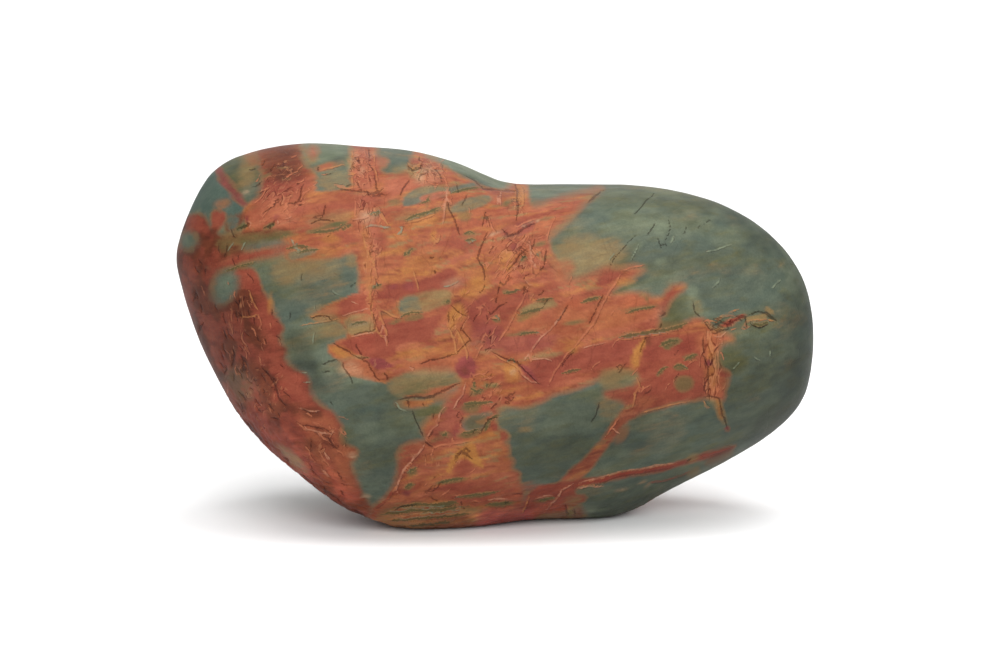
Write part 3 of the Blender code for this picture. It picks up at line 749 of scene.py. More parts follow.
VEINS = [
    # Long steep veins through the middle and down into the lower field.
    ("salmon", 1.4, [
        (529, 285), (526, 293), (522, 301), (517, 308), (512, 318), (507, 328), (501, 338),
        (498, 346)]),
    ("calcite", 1.2, [
        (566, 307), (556, 322), (549, 330), (541, 336), (534, 346), (529, 355), (524, 361),
        (518, 361)]),
    ("salmon", 1.3, [
        (583, 336), (573, 348), (566, 355), (560, 364), (555, 371), (551, 380), (548, 387)]),
    ("salmon", 1.0, [(645, 266), (632, 267), (622, 270)]),
    ("salmon", 1.6, [
        (622, 270), (616, 282), (608, 293), (602, 305), (597, 315), (594, 323),
        (586, 333), (574, 346)]),
    ("calcite", 1.2, [(465, 383), (463, 395), (457, 402), (453, 410)]),
    ("calcite", 1.3, [(446, 405), (440, 412), (437, 425), (430, 433), (427, 440)]),
    ("calcite", 1.5, [
        (427, 440), (423, 447), (415, 457), (409, 465), (403, 473), (398, 482), (395, 490),
        (400, 497)]),
    ("red", 1.6, [(393, 489), (388, 499), (380, 505), (372, 511)]),
    ("salmon", 1.2, [(427, 441), (434, 447), (450, 444), (465, 441), (474, 440)]),
    ("salmon", 1.0, [(434, 447), (430, 456)]),
    ("amber", 1.3, [(530, 494), (529, 500), (525, 508), (521, 514)]),
    ("calcite", 1.2, [(573, 484), (563, 490), (557, 498), (545, 512)]),
    ("salmon", 1.3, [(620, 418), (612, 428), (606, 436)]),
    ("calcite", 1.0, [(614, 430), (620, 434)]),
    ("amber", 1.4, [(637, 378), (640, 387), (636, 393), (633, 407)]),
    # The braided ochre veins at the left of the middle.
    ("amber", 1.6, [
        (362, 232), (364, 245), (370, 255), (374, 262), (376, 272), (377, 277), (370, 294),
        (371, 305), (374, 318), (377, 330), (385, 340)]),
    ("amber", 1.3, [(376, 302), (382, 320), (386, 330), (388, 346)]),
    ("amber", 1.2, [(377, 308), (384, 311), (393, 316), (401, 318)]),
    ("amber", 1.3, [(413, 270), (416, 280), (419, 291)]),
    ("salmon", 1.2, [(355, 198), (356, 210), (354, 220)]),
    ("amber", 1.3, [(378, 207), (384, 218), (388, 226)]),
    ("amber", 1.5, [(431, 235), (435, 240), (433, 245)]),
    ("amber", 1.3, [(440, 233), (438, 240), (434, 246)]),
    # The column and the saddle above, and the veins that hang from them.
    ("amber", 1.4, [(353, 146), (352, 160), (353, 174), (352, 190)]),
    ("salmon", 1.2, [(366, 146), (365, 160), (368, 178), (370, 190)]),
    ("amber", 1.2, [(375, 152), (374, 166), (378, 184)]),
    ("amber", 1.3, [(407, 162), (412, 168), (418, 165), (421, 160)]),
    ("calcite", 1.3, [(445, 187), (446, 200), (445, 215), (443, 225)]),
    ("calcite", 1.0, [(497, 194), (498, 206)]),
    ("calcite", 1.0, [(501, 194), (501, 206)]),
    ("amber", 1.6, [(521, 186), (523, 198), (521, 208)]),
    ("calcite", 1.2, [(529, 238), (531, 250), (532, 262), (536, 270)]),
    ("salmon", 1.1, [(529, 250), (531, 264), (531, 278)]),
    ("salmon", 1.1, [(536, 268), (534, 278)]),
    ("calcite", 1.2, [(525, 281), (531, 286), (534, 284)]),
    ("calcite", 1.1, [(352, 220), (365, 219), (371, 216)]),
    ("glass", 1.4, [(363, 229), (372, 226), (383, 228), (391, 228)]),
    ("glass", 1.6, [(399, 227), (402, 228), (401, 233), (398, 235)]),
    ("salmon", 1.0, [(556, 215), (550, 228), (546, 244)]),
    ("amber", 1.0, [(318, 170), (332, 167), (344, 163)]),
    # Beds and rims of the middle and the left.
    ("glass", 1.2, [(443, 287), (450, 285), (458, 280)]),
    ("calcite", 1.1, [(351, 301), (358, 304)]),
    ("calcite", 1.1, [(341, 316), (355, 312), (369, 309)]),
    ("calcite", 1.2, [(352, 336), (364, 334), (375, 331)]),
    ("calcite", 1.0, [(383, 325), (385, 338), (388, 346)]),
    ("calcite", 1.1, [(408, 367), (413, 369), (412, 373)]),
    ("glass", 1.3, [(396, 403), (400, 409), (408, 412)]),
    ("glass", 1.0, [(314, 303), (314, 310)]),
    ("glass", 1.1, [(315, 330), (313, 338), (313, 345)]),
    ("glass", 1.2, [(332, 289), (334, 293), (339, 295)]),
    ("amber", 1.2, [(310, 317), (320, 314), (330, 316)]),
    ("amber", 1.1, [(300, 325), (325, 321), (340, 318)]),
    ("calcite", 1.0, [(582, 348), (595, 345), (607, 343)]),
    ("calcite", 1.0, [(528, 360), (545, 358), (552, 360)]),
    ("calcite", 1.1, [(520, 372), (531, 381), (540, 383)]),
    ("calcite", 1.2, [(536, 499), (545, 496), (553, 496)]),
    ("calcite", 1.1, [(577, 489), (590, 486), (603, 486)]),
    ("calcite", 1.1, [(487, 500), (500, 499), (512, 500)]),
    # The long red veins along the foot, with pale upper edges.
    ("red", 2.0, [
        (577, 487), (600, 481), (620, 475), (640, 472), (655, 468), (680, 464)]),
    ("calcite", 1.0, [
        (578, 484), (600, 478), (620, 472), (640, 469), (655, 465), (680, 461)]),
    ("red", 1.4, [(648, 484), (665, 480), (680, 476), (688, 472)]),
    ("red", 1.0, [(694, 461), (705, 456), (715, 452), (734, 446)]),
    ("moss", 1.8, [(395, 508), (420, 505), (445, 503), (456, 501)]),
    ("moss", 2.0, [(380, 514), (410, 511), (440, 510), (470, 507)]),
    ("moss", 1.8, [(388, 521), (420, 518), (450, 516), (472, 514)]),
    ("moss", 1.8, [(404, 526), (430, 524), (452, 522)]),
    ("red", 1.2, [(392, 511), (420, 508), (446, 506)]),
    ("red", 1.4, [(396, 518), (430, 514), (462, 511)]),
    ("moss", 1.6, [(456, 497), (476, 494), (500, 492)]),
    ("amber", 1.2, [(641, 413), (655, 409), (670, 405), (690, 401)]),
    ("amber", 1.6, [(703, 401), (706, 407), (710, 408)]),
    ("amber", 1.4, [(715, 322), (722, 317), (731, 314)]),
    ("calcite", 1.1, [(714, 336), (720, 337), (726, 331)]),
    ("amber", 1.2, [(748, 321), (757, 319), (766, 320), (775, 322)]),
    ("amber", 1.0, [(712, 320), (720, 316), (728, 313), (740, 309)]),
    ("calcite", 1.0, [(722, 337), (722, 345)]),
    # Moss slivers with tan rims, along the beds.
    ("moss", 2.6, [(620, 338), (635, 335), (650, 332), (665, 330), (680, 326), (687, 323)]),
    ("amber", 1.2, [(618, 341), (640, 337), (664, 333)]),
    ("moss", 2.0, [(580, 302), (590, 299), (599, 297)]),
    ("moss", 1.8, [(504, 293), (512, 292), (520, 290)]),
    ("moss", 2.2, [(406, 220), (418, 215), (430, 212), (441, 208)]),
    ("amber", 1.4, [(406, 223), (420, 220), (436, 215)]),
    ("moss", 1.6, [(450, 193), (464, 190), (479, 188)]),
    ("moss", 1.8, [(518, 315), (530, 312), (542, 308)]),
    ("moss", 1.8, [(537, 301), (546, 299), (553, 298)]),
    ("moss", 1.6, [(520, 335), (530, 333), (538, 332)]),
    ("moss", 1.8, [(562, 373), (572, 371), (581, 369)]),
    ("moss", 2.4, [(438, 485), (450, 481), (464, 478)]),
    ("moss", 2.2, [(486, 506), (498, 504), (512, 503)]),
    ("moss", 2.2, [(430, 507), (444, 505), (458, 503)]),
    ("moss", 1.8, [(540, 501), (548, 499), (556, 498)]),
    ("moss", 2.0, [(340, 229), (350, 226), (330, 232), (312, 233)]),
    ("moss", 1.6, [(442, 437), (445, 433), (448, 438)]),
    ("moss", 1.8, [(350, 326), (357, 323), (366, 322)]),
    ("moss", 1.8, [(752, 323), (760, 325), (769, 322)]),
    ("moss", 1.6, [(625, 313), (640, 309), (657, 306)]),
    ("glass", 1.4, [(468, 243), (474, 241)]),
    ("moss", 2.0, [(471, 388), (476, 392), (482, 390)]),
    ("moss", 1.4, [(474, 381), (475, 388)]),
    ("moss", 1.6, [(486, 389), (487, 383)]),
    ("moss", 2.0, [(464, 405), (480, 403), (492, 402)]),
    ("moss", 2.2, [(484, 432), (488, 422), (494, 417), (499, 416)]),
    ("moss", 1.8, [(462, 433), (472, 431), (480, 428)]),
    ("moss", 2.0, [(408, 474), (412, 470), (418, 466)]),
    ("moss", 1.8, [(404, 488), (410, 484), (414, 485)]),
    ("moss", 2.4, [(660, 345), (668, 341), (678, 340)]),
    ("moss", 1.8, [(658, 374), (662, 369), (668, 367)]),
    ("moss", 1.8, [(674, 368), (680, 365), (687, 370)]),
    ("moss", 1.6, [(685, 361), (691, 357), (697, 355)]),
    ("moss", 1.8, [(493, 319), (496, 316), (499, 320)]),
    ("moss", 1.6, [(521, 261), (524, 257), (527, 256)]),
    ("moss", 1.4, [(537, 256), (540, 253)]),
    ("moss", 1.5, [(465, 241), (471, 239), (476, 240)]),
    ("moss", 1.2, [(464, 234), (470, 232), (474, 233)]),
    ("moss", 1.4, [(370, 215), (376, 212), (382, 212)]),
    ("moss", 1.6, [(286, 249), (298, 246), (310, 247)]),
    ("moss", 1.2, [(296, 253), (306, 250), (320, 250)]),
    ("moss", 1.3, [(225, 272), (240, 266), (256, 262)]),
    ("moss", 1.6, [(409, 252), (405, 254), (412, 249)]),
    ("moss", 1.6, [(444, 303), (450, 301)]),
    ("moss", 1.4, [(400, 316), (412, 313), (422, 313)]),
    ("moss", 1.4, [(370, 290), (378, 286), (383, 285)]),
    ("moss", 1.4, [(420, 204), (428, 201), (430, 197)]),
    ("moss", 1.2, [(506, 362), (512, 358), (516, 362)]),
    ("amber", 1.2, [(455, 328), (460, 338), (466, 350), (468, 362)]),
    ("amber", 1.2, [(449, 326), (455, 342), (458, 357)]),
    ("amber", 1.0, [(493, 353), (504, 360), (515, 365), (526, 375)]),
    ("salmon", 1.0, [(345, 186), (336, 185), (340, 188), (352, 189)]),
    ("salmon", 1.2, [(489, 216), (492, 226), (497, 234)]),
    ("salmon", 1.2, [(536, 219), (524, 222), (516, 228)]),
    ("salmon", 1.0, [(508, 236), (516, 243), (528, 240)]),
    ("salmon", 1.2, [(525, 240), (516, 250), (508, 262), (502, 276)]),
    ("salmon", 1.0, [(541, 248), (540, 262), (536, 276)]),
    ("salmon", 1.0, [(612, 348), (616, 342), (621, 338)]),
    ("salmon", 1.0, [(532, 348), (531, 362)]),
    ("salmon", 1.0, [(488, 330), (482, 340), (478, 352), (474, 362)]),
    ("salmon", 1.0, [(497, 326), (492, 336)]),
    ("salmon", 1.0, [(262, 218), (270, 208), (274, 196)]),
    ("salmon", 1.0, [(282, 214), (288, 202), (290, 192)]),
    ("salmon", 0.9, [(252, 206), (262, 196), (268, 186)]),
    ("salmon", 0.9, [(440, 170), (448, 186), (452, 204)]),
    # Pale scratches in the green glass at the right.
    ("glass", 1.3, [(640, 244), (636, 252), (630, 262)]),
    ("glass", 1.1, [(614, 252), (609, 260)]),
    ("glass", 1.4, [(671, 244), (673, 240), (675, 237)]),
    ("glass", 1.3, [(706, 252), (716, 250), (724, 247), (733, 244)]),
    ("glass", 1.2, [(711, 288), (718, 282), (720, 277)]),
    ("glass", 1.2, [(771, 288), (776, 283), (781, 279)]),
    ("glass", 1.2, [(754, 356), (761, 360)]),
    ("glass", 1.1, [(770, 356), (771, 351)]),
    ("glass", 1.2, [(740, 362), (733, 370)]),
    ("glass", 1.1, [(300, 372), (308, 373)]),
    ("glass", 1.1, [(304, 383), (311, 383)]),
    # The left shoulder and end.
    ("glass", 1.1, [(226, 251), (234, 241)]),
    ("glass", 1.1, [(241, 251), (246, 241)]),
    ("glass", 1.2, [(292, 241), (296, 248), (299, 252)]),
    ("calcite", 1.1, [(246, 223), (250, 221), (252, 223), (250, 226)]),
    ("calcite", 1.1, [(278, 220), (280, 223), (277, 225)]),
    ("calcite", 1.1, [(285, 219), (289, 218), (293, 216)]),
    ("amber", 1.2, [(249, 290), (253, 300), (257, 309)]),
    ("amber", 1.2, [(241, 318), (252, 316), (257, 313)]),
    ("calcite", 1.1, [(298, 408), (311, 411), (319, 411)]),
    ("calcite", 1.2, [(303, 428), (311, 430), (320, 433), (331, 434), (336, 430)]),
    ("calcite", 1.1, [(325, 452), (331, 460)]),
    ("calcite", 1.1, [(323, 470), (330, 478)]),
]
for tint, half_wide, route in VEINS:
    line(veins, FINER * half_wide, route, TINTS[tint])

CRACKS = [
    # The left shoulder and end.
    (1.2, [(247, 170), (256, 170)]),
    (1.3, [(238, 229), (243, 226), (248, 222)]),
    (1.2, [(249, 224), (244, 227)]),
    (1.4, [(263, 229), (268, 226), (276, 223)]),
    (1.2, [(272, 228), (268, 230)]),
    (1.1, [(262, 213), (270, 209), (275, 203), (279, 197)]),
    (1.1, [(288, 203), (296, 203), (300, 198), (301, 190), (305, 183)]),
    (1.2, [(235, 301), (240, 306)]),
    (1.2, [(240, 313), (243, 318)]),
    (1.3, [(222, 330), (226, 338)]),
    (1.3, [(200, 260), (203, 264)]),
    (1.2, [(270, 309), (272, 317)]),
    (1.2, [(275, 322), (279, 323)]),
    (1.3, [(234, 349), (233, 357), (231, 366)]),
    (1.2, [(240, 355), (243, 362), (243, 372)]),
    (1.1, [(244, 358), (247, 366), (248, 373)]),
    (1.6, [(262, 367), (270, 375), (275, 385), (278, 398), (285, 405)]),
    (1.2, [(270, 417), (280, 420)]),
    (1.3, [(303, 425), (312, 427), (322, 430)]),
    (1.5, [(327, 437), (333, 446), (339, 450)]),
    (1.4, [(335, 470), (342, 480)]),
    (1.2, [(340, 484), (347, 485)]),
    (1.2, [(340, 490), (345, 495)]),
    # The crown and the upper field.
    (1.1, [(319, 163), (318, 172)]),
    (1.2, [(353, 158), (352, 170)]),
    (1.2, [(359, 147), (360, 160), (359, 172)]),
    (1.2, [(370, 147), (369, 165), (373, 170), (376, 185), (377, 192)]),
    (1.1, [(357, 180), (360, 191)]),
    (1.3, [(435, 168), (441, 178), (443, 184)]),
    (1.1, [(441, 164), (444, 168)]),
    (1.1, [(407, 165), (412, 171), (419, 168), (423, 161)]),
    (1.2, [(340, 190), (352, 191), (367, 192), (386, 194)]),
    (1.1, [(368, 195), (380, 190), (384, 187)]),
    (1.1, [(411, 178), (405, 184), (402, 190), (400, 197)]),
    (1.2, [(468, 177), (474, 179), (484, 189), (495, 190), (516, 191)]),
    (1.1, [(449, 200), (449, 208), (455, 220), (460, 235)]),
    (1.4, [(516, 184), (517, 195), (518, 205), (517, 220)]),
    (1.6, [(503, 229), (508, 235), (518, 233), (523, 228), (530, 225), (534, 224)]),
    (1.1, [(487, 213), (490, 222), (491, 226)]),
    (1.2, [
        (488, 230), (484, 240), (480, 248), (477, 258), (479, 262), (484, 270), (485, 276),
        (483, 283)]),
    (1.2, [(528, 248), (520, 254), (516, 262), (512, 266), (506, 272)]),
    (1.2, [(546, 250), (543, 268)]),
    (1.2, [(603, 190), (596, 196), (586, 204)]),
    (1.2, [(310, 224), (320, 220), (333, 222)]),
    (1.3, [(327, 239), (331, 236)]),
    (1.1, [(325, 205), (323, 217)]),
    (1.1, [(300, 206), (301, 199)]),
    # Left of the middle.
    (1.1, [(310, 318), (319, 315), (328, 315), (332, 320)]),
    (1.1, [(375, 315), (375, 328), (372, 331), (360, 333), (353, 335)]),
    (1.2, [(435, 271), (436, 274)]),
    (1.2, [(430, 258), (434, 258)]),
    (1.5, [(334, 344), (340, 348), (347, 351), (352, 355)]),
    (1.2, [(322, 365), (328, 363), (337, 360)]),
    (1.1, [(323, 372), (331, 371)]),
    (1.2, [(341, 360), (345, 370), (350, 377), (353, 388)]),
    (1.2, [(354, 356), (360, 359), (367, 358)]),
    (1.3, [(360, 360), (368, 362), (371, 370), (375, 377), (380, 381)]),
    (1.1, [(355, 343), (361, 355)]),
    (1.2, [(419, 365), (430, 360), (445, 357), (455, 354)]),
    (1.7, [
        (399, 400), (405, 398), (412, 397), (428, 398), (433, 397), (440, 393), (450, 388),
        (460, 383)]),
    (1.1, [(408, 400), (409, 408)]),
    (1.1, [(421, 402), (424, 407)]),
    (1.2, [(449, 312), (450, 322)]),
    (1.3, [(382, 372), (387, 376), (386, 382)]),
    # The middle and the lower field.
    (1.2, [(517, 362), (522, 367)]),
    (1.2, [(567, 306), (562, 314), (557, 321)]),
    (1.2, [(498, 418), (488, 420), (484, 427), (480, 433)]),
    (1.3, [(425, 442), (434, 447)]),
    (2.6, [(455, 460), (459, 454), (463, 450), (467, 455), (472, 459)]),
    (1.0, [(492, 351), (502, 357), (514, 361), (524, 369), (534, 379), (541, 385)]),
    (1.0, [(461, 328), (466, 336), (471, 342)]),
    (1.0, [(452, 306), (458, 312), (466, 316)]),
    (1.0, [(470, 340), (462, 348), (458, 354)]),
    (1.0, [(506, 302), (498, 306), (490, 316)]),
    (1.0, [(486, 214), (482, 226)]),
    (1.0, [(501, 280), (498, 292), (494, 304)]),
    (1.0, [(574, 352), (566, 360), (561, 368)]),
    (1.0, [(600, 402), (596, 414), (590, 424)]),
    (1.0, [(412, 410), (418, 424), (424, 438)]),
    (1.2, [(465, 447), (470, 452)]),
    (1.1, [(461, 500), (463, 508), (467, 512)]),
    (1.2, [(566, 505), (567, 517)]),
    (1.2, [(575, 508), (575, 517)]),
    (1.1, [(394, 510), (404, 507), (416, 506)]),
    # Short dark strokes just inside the outline along the foot.
    (1.3, [(248, 424), (256, 434), (263, 441)]),
    (1.2, [(282, 457), (290, 464)]),
    (1.3, [(300, 473), (312, 483)]),
    (1.3, [(328, 493), (342, 503)]),
    (1.3, [(352, 509), (366, 517)]),
    (1.3, [(376, 521), (388, 525)]),
    (1.2, [(396, 527), (408, 528)]),
    (1.2, [(556, 520), (570, 521)]),
    (1.1, [(645, 506), (652, 500)]),
    # Dark hairlines in the green glass at the right.
    (0.8, [(655, 192), (648, 199), (640, 208), (636, 214)]),
    (0.8, [(658, 221), (652, 230), (645, 238)]),
    (0.8, [(636, 236), (625, 245), (615, 256), (611, 265)]),
    (0.7, [(668, 215), (671, 228), (668, 236), (664, 244)]),
    (0.8, [(657, 239), (661, 247), (665, 243), (668, 247)]),
    # Right of the middle.
    (1.2, [(693, 303), (694, 311), (700, 317)]),
    (1.2, [
        (704, 330), (703, 345), (705, 360), (708, 366), (709, 375), (708, 397)]),
    (1.1, [(720, 345), (714, 352), (711, 366)]),
    (1.3, [(703, 397), (712, 397), (719, 399), (721, 408), (723, 415), (728, 430)]),
    (1.5, [(715, 327), (722, 321), (728, 324), (737, 320), (746, 316)]),
    (1.2, [(745, 315), (748, 327)]),
    (1.0, [(703, 321), (711, 330), (716, 326)]),
    (1.1, [(748, 315), (757, 311), (764, 313), (770, 319), (777, 321)]),
    (1.0, [(750, 324), (760, 328), (769, 324)]),
    (1.0, [(716, 334), (722, 330), (730, 328)]),
    (1.1, [(765, 312), (772, 318), (778, 322)]),
    (1.2, [(646, 337), (642, 345), (640, 352)]),
    (1.6, [(687, 463), (692, 459)]),
    (1.1, [(604, 293), (598, 305), (592, 318), (588, 326)]),
]
for half_wide, route in CRACKS:
    line(cracks, FINER * half_wide, route)

# Short cracks and threads too many to trace: how many dark and how many pale, then the
# middle and half sizes of where they lie, and their lean from level in degrees.
STROKES = [
    (11, 20, 281, 190, 26, 40, 48), (26, 8, 222, 310, 30, 84, 100), (20, 18, 264, 372, 26, 56, 118),
    (13, 22, 322, 446, 24, 50, 126), (3, 10, 427, 170, 18, 14, 70), (3, 14, 370, 268, 12, 72, 96),
    (8, 20, 508, 250, 34, 36, 56), (6, 16, 480, 318, 22, 34, 66), (8, 12, 486, 392, 30, 20, 40),
    (7, 8, 444, 452, 36, 44, 50), (4, 10, 712, 360, 12, 42, 88), (6, 6, 728, 322, 28, 9, 30),
    (8, 8, 640, 350, 60, 44, 46), (5, 6, 560, 300, 40, 40, 52), (6, 4, 470, 500, 70, 14, 20),
    (3, 6, 450, 200, 24, 20, 96), (3, 0, 700, 230, 60, 30, 44), (3, 0, 320, 300, 40, 50, 60),
    (4, 6, 340, 200, 40, 30, 14),
]
chance = random.Random(7)
for dark, pale, x, y, half_long, half_high, lean in STROKES:
    for number in range(dark + pale):
        turn, out = chance.uniform(0, 2 * math.pi), math.sqrt(chance.random())
        spot = np.array([x + half_long * out * math.cos(turn), y + half_high * out * math.sin(turn)])
        slope = math.radians(lean + chance.gauss(0, 16))
        step = chance.uniform(2.5, 6.5) * np.array([math.cos(slope), -math.sin(slope)])
        bend = chance.uniform(-0.35, 0.35) * np.array([step[1], -step[0]])
        route = [spot - step, spot + bend, spot + step]
        if number < dark:
            line(cracks, 0.62, route, 0.5)
        else:
            line(veins, 0.62, route, TINTS["salmon"])


# Round the ends, the top and the underside the same beds are cut across, so the stains
# there are solid patches and lenses that run through the stone, not the picture's.
cut_across = smooth((0.40 - np.abs(facing + 0.36)) / 0.25 + 0.5 * cloud(9 * MM, 61.0, 2))
cut_across *= smooth((0.085 - place[:, 0]) / 0.03)
ROUND_THE_EDGE = [
    ("green", "warm", 26 * MM, 3.0, (1.8, 1.2, 0.8), 0.16, 0.10, 0.9),
    ("orange", "green", 24 * MM, 11.0, (1.8, 1.0, 0.7), 0.12, 0.07, 0.95),
    ("brick", "warm", 13 * MM, 17.0, (2.4, 1.2, 0.6), 0.06, 0.10, 0.85),
    ("rust", "warm", 11 * MM, 29.0, (2.0, 1.2, 0.7), 0.24, 0.12, 0.7),
    ("tan", "green", 12 * MM, 41.0, (2.4, 1.4, 0.6), 0.24, 0.20, 0.6),
    ("plum", "warm", 7 * MM, 47.0, (1.8, 1.2, 0.8), 0.36, 0.08, 0.8),
]
for row in ROUND_THE_EDGE:
    bed(*row, cut_across)

# The main fracture and the slips have healed with ochre.
HEALED_HALF_WIDTH = 0.24 * MM
planes = [("main", LOOK, STAND_OFF + MAIN_FRACTURE + CAMERA_PLACE @ LOOK)]
planes += [(name, np.array(normal), offset * MM) for name, normal, offset, slip in SLIPS]
for name, normal, offset in planes:
    away = (place @ normal - offset + 1.2 * MM * drift(9 * MM, 19.0)[:, 0]) / HEALED_HALF_WIDTH
    nearer = (np.abs(away) < np.abs(veins[:, 0])) & (behind | (name == "main"))
    veins[nearer] = np.c_[away, np.abs(away) - 1, np.full(len(away), TINTS["salmon"])][nearer]


# Deeper and paler parts of the glass, and painted light and shade: painted shade darkens the right end towards
# its rim, painted light lifts the shaded foot and lower left. All as soft ovals: how much lighter, then the
# middle, half sizes and tilt.
VEILS_AND_PAINTED_LIGHT = [
    (-0.40, 590, 440, 80, 40, 18), (-0.34, 750, 400, 60, 46, 35), (-0.40, 808, 350, 26, 90, 0),
    (-0.30, 760, 232, 46, 15, -38), (-0.08, 808, 300, 14, 30, 0), (-0.48, 780, 418, 36, 13, 36),
    (-0.44, 306, 366, 36, 12, -64), (0.72, 310, 466, 50, 12, -38), (0.45, 356, 502, 24, 8, -34),
    (0.75, 430, 520, 70, 8, 2), (0.8, 564, 514, 30, 9, 0), (0.4, 510, 516, 40, 7, 0), (0.20, 466, 368, 12, 12, 0),
    (0.22, 364, 322, 12, 34, 0), (0.34, 270, 396, 26, 18, -60), (-0.16, 722, 208, 34, 9, -14),
    (-0.22, 287, 177, 18, 7, 8), (0.25, 345, 464, 8, 12, 30), (0.30, 714, 394, 9, 9, 0),
    (0.30, 303, 377, 9, 7, 0), (0.28, 507, 279, 9, 6, 10), (0.28, 353, 162, 6, 11, 0),
    (0.22, 351, 372, 9, 7, 0), (0.20, 574, 303, 10, 5, 10), (0.20, 632, 301, 10, 6, 10),
    (-0.24, 375, 440, 46, 60, -30), (-0.12, 700, 250, 60, 26, 0), (-0.28, 660, 495, 70, 26, 20),
    (0.02, 620, 215, 60, 24, 0), (-0.08, 320, 290, 40, 36, 0), (-0.10, 430, 508, 90, 22, 0),
    (0.04, 290, 420, 60, 34, -50), (-0.10, 450, 460, 60, 50, 0), (-0.16, 215, 320, 34, 80, 10),
    (-0.06, 305, 150, 30, 14, 0), (-0.14, 250, 180, 26, 30, 0), (-0.1, 560, 508, 60, 16, 0),
]
DEEPEST, TONE_KEPT_BEHIND = 0.38, 0.25
tone = np.ones(len(place))
for lighter, x, y, half_long, half_wide, tilt in VEILS_AND_PAINTED_LIGHT:
    away = lens_distance(shown, (x, y), half_long, half_wide, tilt) / min(half_long, half_wide)
    tone += lighter * smooth(0.5 - away / 1.2)
tone = np.maximum(tone, DEEPEST)
# Round the back the tone, painted light and shade included, is kept weaker.
tone[behind] = 1 + TONE_KEPT_BEHIND * (tone[behind] - 1)

# Where the stone was crushed, braids of fine fissures healed in ochre: how many stand
# upright and how many slant, then the middle, half sizes and tilt of each bundle.
BRAIDS = [
    (1.0, 0.0, 364, 168, 14, 27, 0), (1.0, 0.3, 426, 172, 20, 14, -16),
    (0.4, 0.7, 280, 188, 26, 36, 0), (0.8, 0.2, 366, 215, 12, 30, 0),
    (0.6, 0.0, 446, 205, 9, 22, 0), (0.8, 0.2, 370, 270, 10, 36, -10),
    (0.6, 0.0, 376, 322, 10, 26, 0), (0.5, 0.6, 458, 320, 12, 28, 0),
    (0.3, 0.7, 482, 345, 18, 12, 0), (0.8, 0.0, 518, 202, 9, 20, 0),
    (0.2, 0.8, 512, 255, 24, 30, 20), (0.3, 0.6, 375, 366, 20, 9, 0),
    (1.0, 0.0, 711, 364, 12, 40, 4), (0.3, 0.5, 728, 321, 16, 8, 16),
    (0.3, 0.6, 484, 396, 22, 24, 0), (0.7, 0.2, 238, 325, 12, 44, -6),
    (0.2, 0.6, 262, 396, 24, 46, -24), (0.1, 0.5, 325, 450, 22, 40, -30),
    (0.5, 0.3, 444, 460, 30, 24, 0),
]
upright, slanting = np.zeros(len(place)), np.zeros(len(place))
for up, slant, x, y, half_long, half_wide, tilt in BRAIDS:
    away = lens_distance(shown, (x, y), half_long, half_wide, tilt) / min(half_long, half_wide)
    inside = smooth(0.5 - away / 1.2)
    upright = np.maximum(upright, up * inside)
    slanting = np.maximum(slanting, slant * inside)
upright = np.maximum(upright, 0.7 * cut_across * smooth(2 * cloud(14 * MM, 71.0, 2)))


# Relief, all of it real: broad water-worn unevenness, a rough chipped foot and left end,
# and the open cracks as grooves.
WORN = [(11 * MM, 3.0, 0.10 * MM), (4 * MM, 9.0, 0.05 * MM)]
CHIPS = (1.4 * MM, 13.0, 0.7 * MM)
GROOVE = 0.22 * MM
lift = sum(height * drift(size, seed)[:, 0] for size, seed, height in WORN)
rough = smooth((0.034 - 0.25 * place[:, 0] - place[:, 2]) / 0.03)
chips = drift(CHIPS[0], CHIPS[1])[:, 0]
lift += CHIPS[2] * rough * np.minimum(chips, 0.15)
depth_in_crack = smooth(1.6 - np.maximum(np.abs(cracks[:, 0]), cracks[:, 1]) / 1.5)
lift -= GROOVE * depth_in_crack
off_rest = smooth(place[:, 2] / (0.6 * MM))
place += outward * (lift * off_rest)[:, None]
place[:, 2] = np.maximum(place[:, 2], 0)
skin.vertices.foreach_set("co", place.ravel())


def keep(name, rows):
    """Stores three numbers for each point of the skin."""
    layer = skin.attributes.new(name, "FLOAT_VECTOR", "POINT")
    layer.data.foreach_set("vector", np.ascontiguousarray(rows, np.float32).ravel())


for first in range(0, len(PIGMENTS), 3):
    keep("pigments_" + PIGMENTS[first], shares[:, first:first + 3])
keep("healed_veins", veins)
keep("tone_and_braids", np.c_[tone, upright, slanting])
keep("dark_cracks", cracks)


# The finish: honed jasper with a soft sheen. Each pigment has a light and a deep shade.
# Streaks along the beds break up every border, so that it frays as real stain does.
SHADES = {
    "green": ((107, 116, 98), (86, 96, 84)),
    "teal": ((98, 114, 101), (80, 98, 88)),
    "moss": ((110, 106, 64), (82, 82, 48)),
    "celadon": ((136, 145, 119), (112, 122, 97)),
    "tan": ((162, 136, 90), (134, 110, 70)),
    "ochre": ((202, 138, 70), (172, 106, 52)),
    "orange": ((190, 112, 74), (162, 84, 54)),
    "salmon": ((194, 114, 84), (166, 86, 62)),
    "brick": ((166, 84, 62), (142, 63, 47)),
    "rust": ((128, 66, 42), (96, 46, 30)),
    "plum": ((162, 78, 72), (124, 54, 52)),
    "pale": ((214, 178, 142), (188, 146, 110)),
}
VEIN_SHADES = [
    ("calcite", (206, 144, 112)), ("salmon", (200, 120, 84)), ("amber", (198, 132, 80)),
    ("red", (146, 58, 40)), ("glass", (138, 148, 122)), ("moss", (84, 80, 46))]
LESS_LIGHT = 0.50


def linear(rgb):
    """A colour read off a picture as the darker linear one that the stone has."""
    parts = [c / 255 for c in rgb]
    parts = [c / 12.92 if c <= 0.04045 else ((c + 0.055) / 1.055) ** 2.4 for c in parts]
    return [LESS_LIGHT * c for c in parts] + [1.0]


def fill(node, values):
    """Sets or links a node's inputs, by name or by number."""
    for name, value in values.items():
        if isinstance(value, bpy.types.NodeSocket):
            node.id_data.links.new(value, node.inputs[name])
        else:
            node.inputs[name].default_value = value
    return node


def put(tree, kind, values, **settings):
    """Adds a node with its settings, and sets or links its inputs."""
    node = tree.nodes.new(kind)
    for name, value in settings.items():
        setattr(node, name, value)
    return fill(node, values)


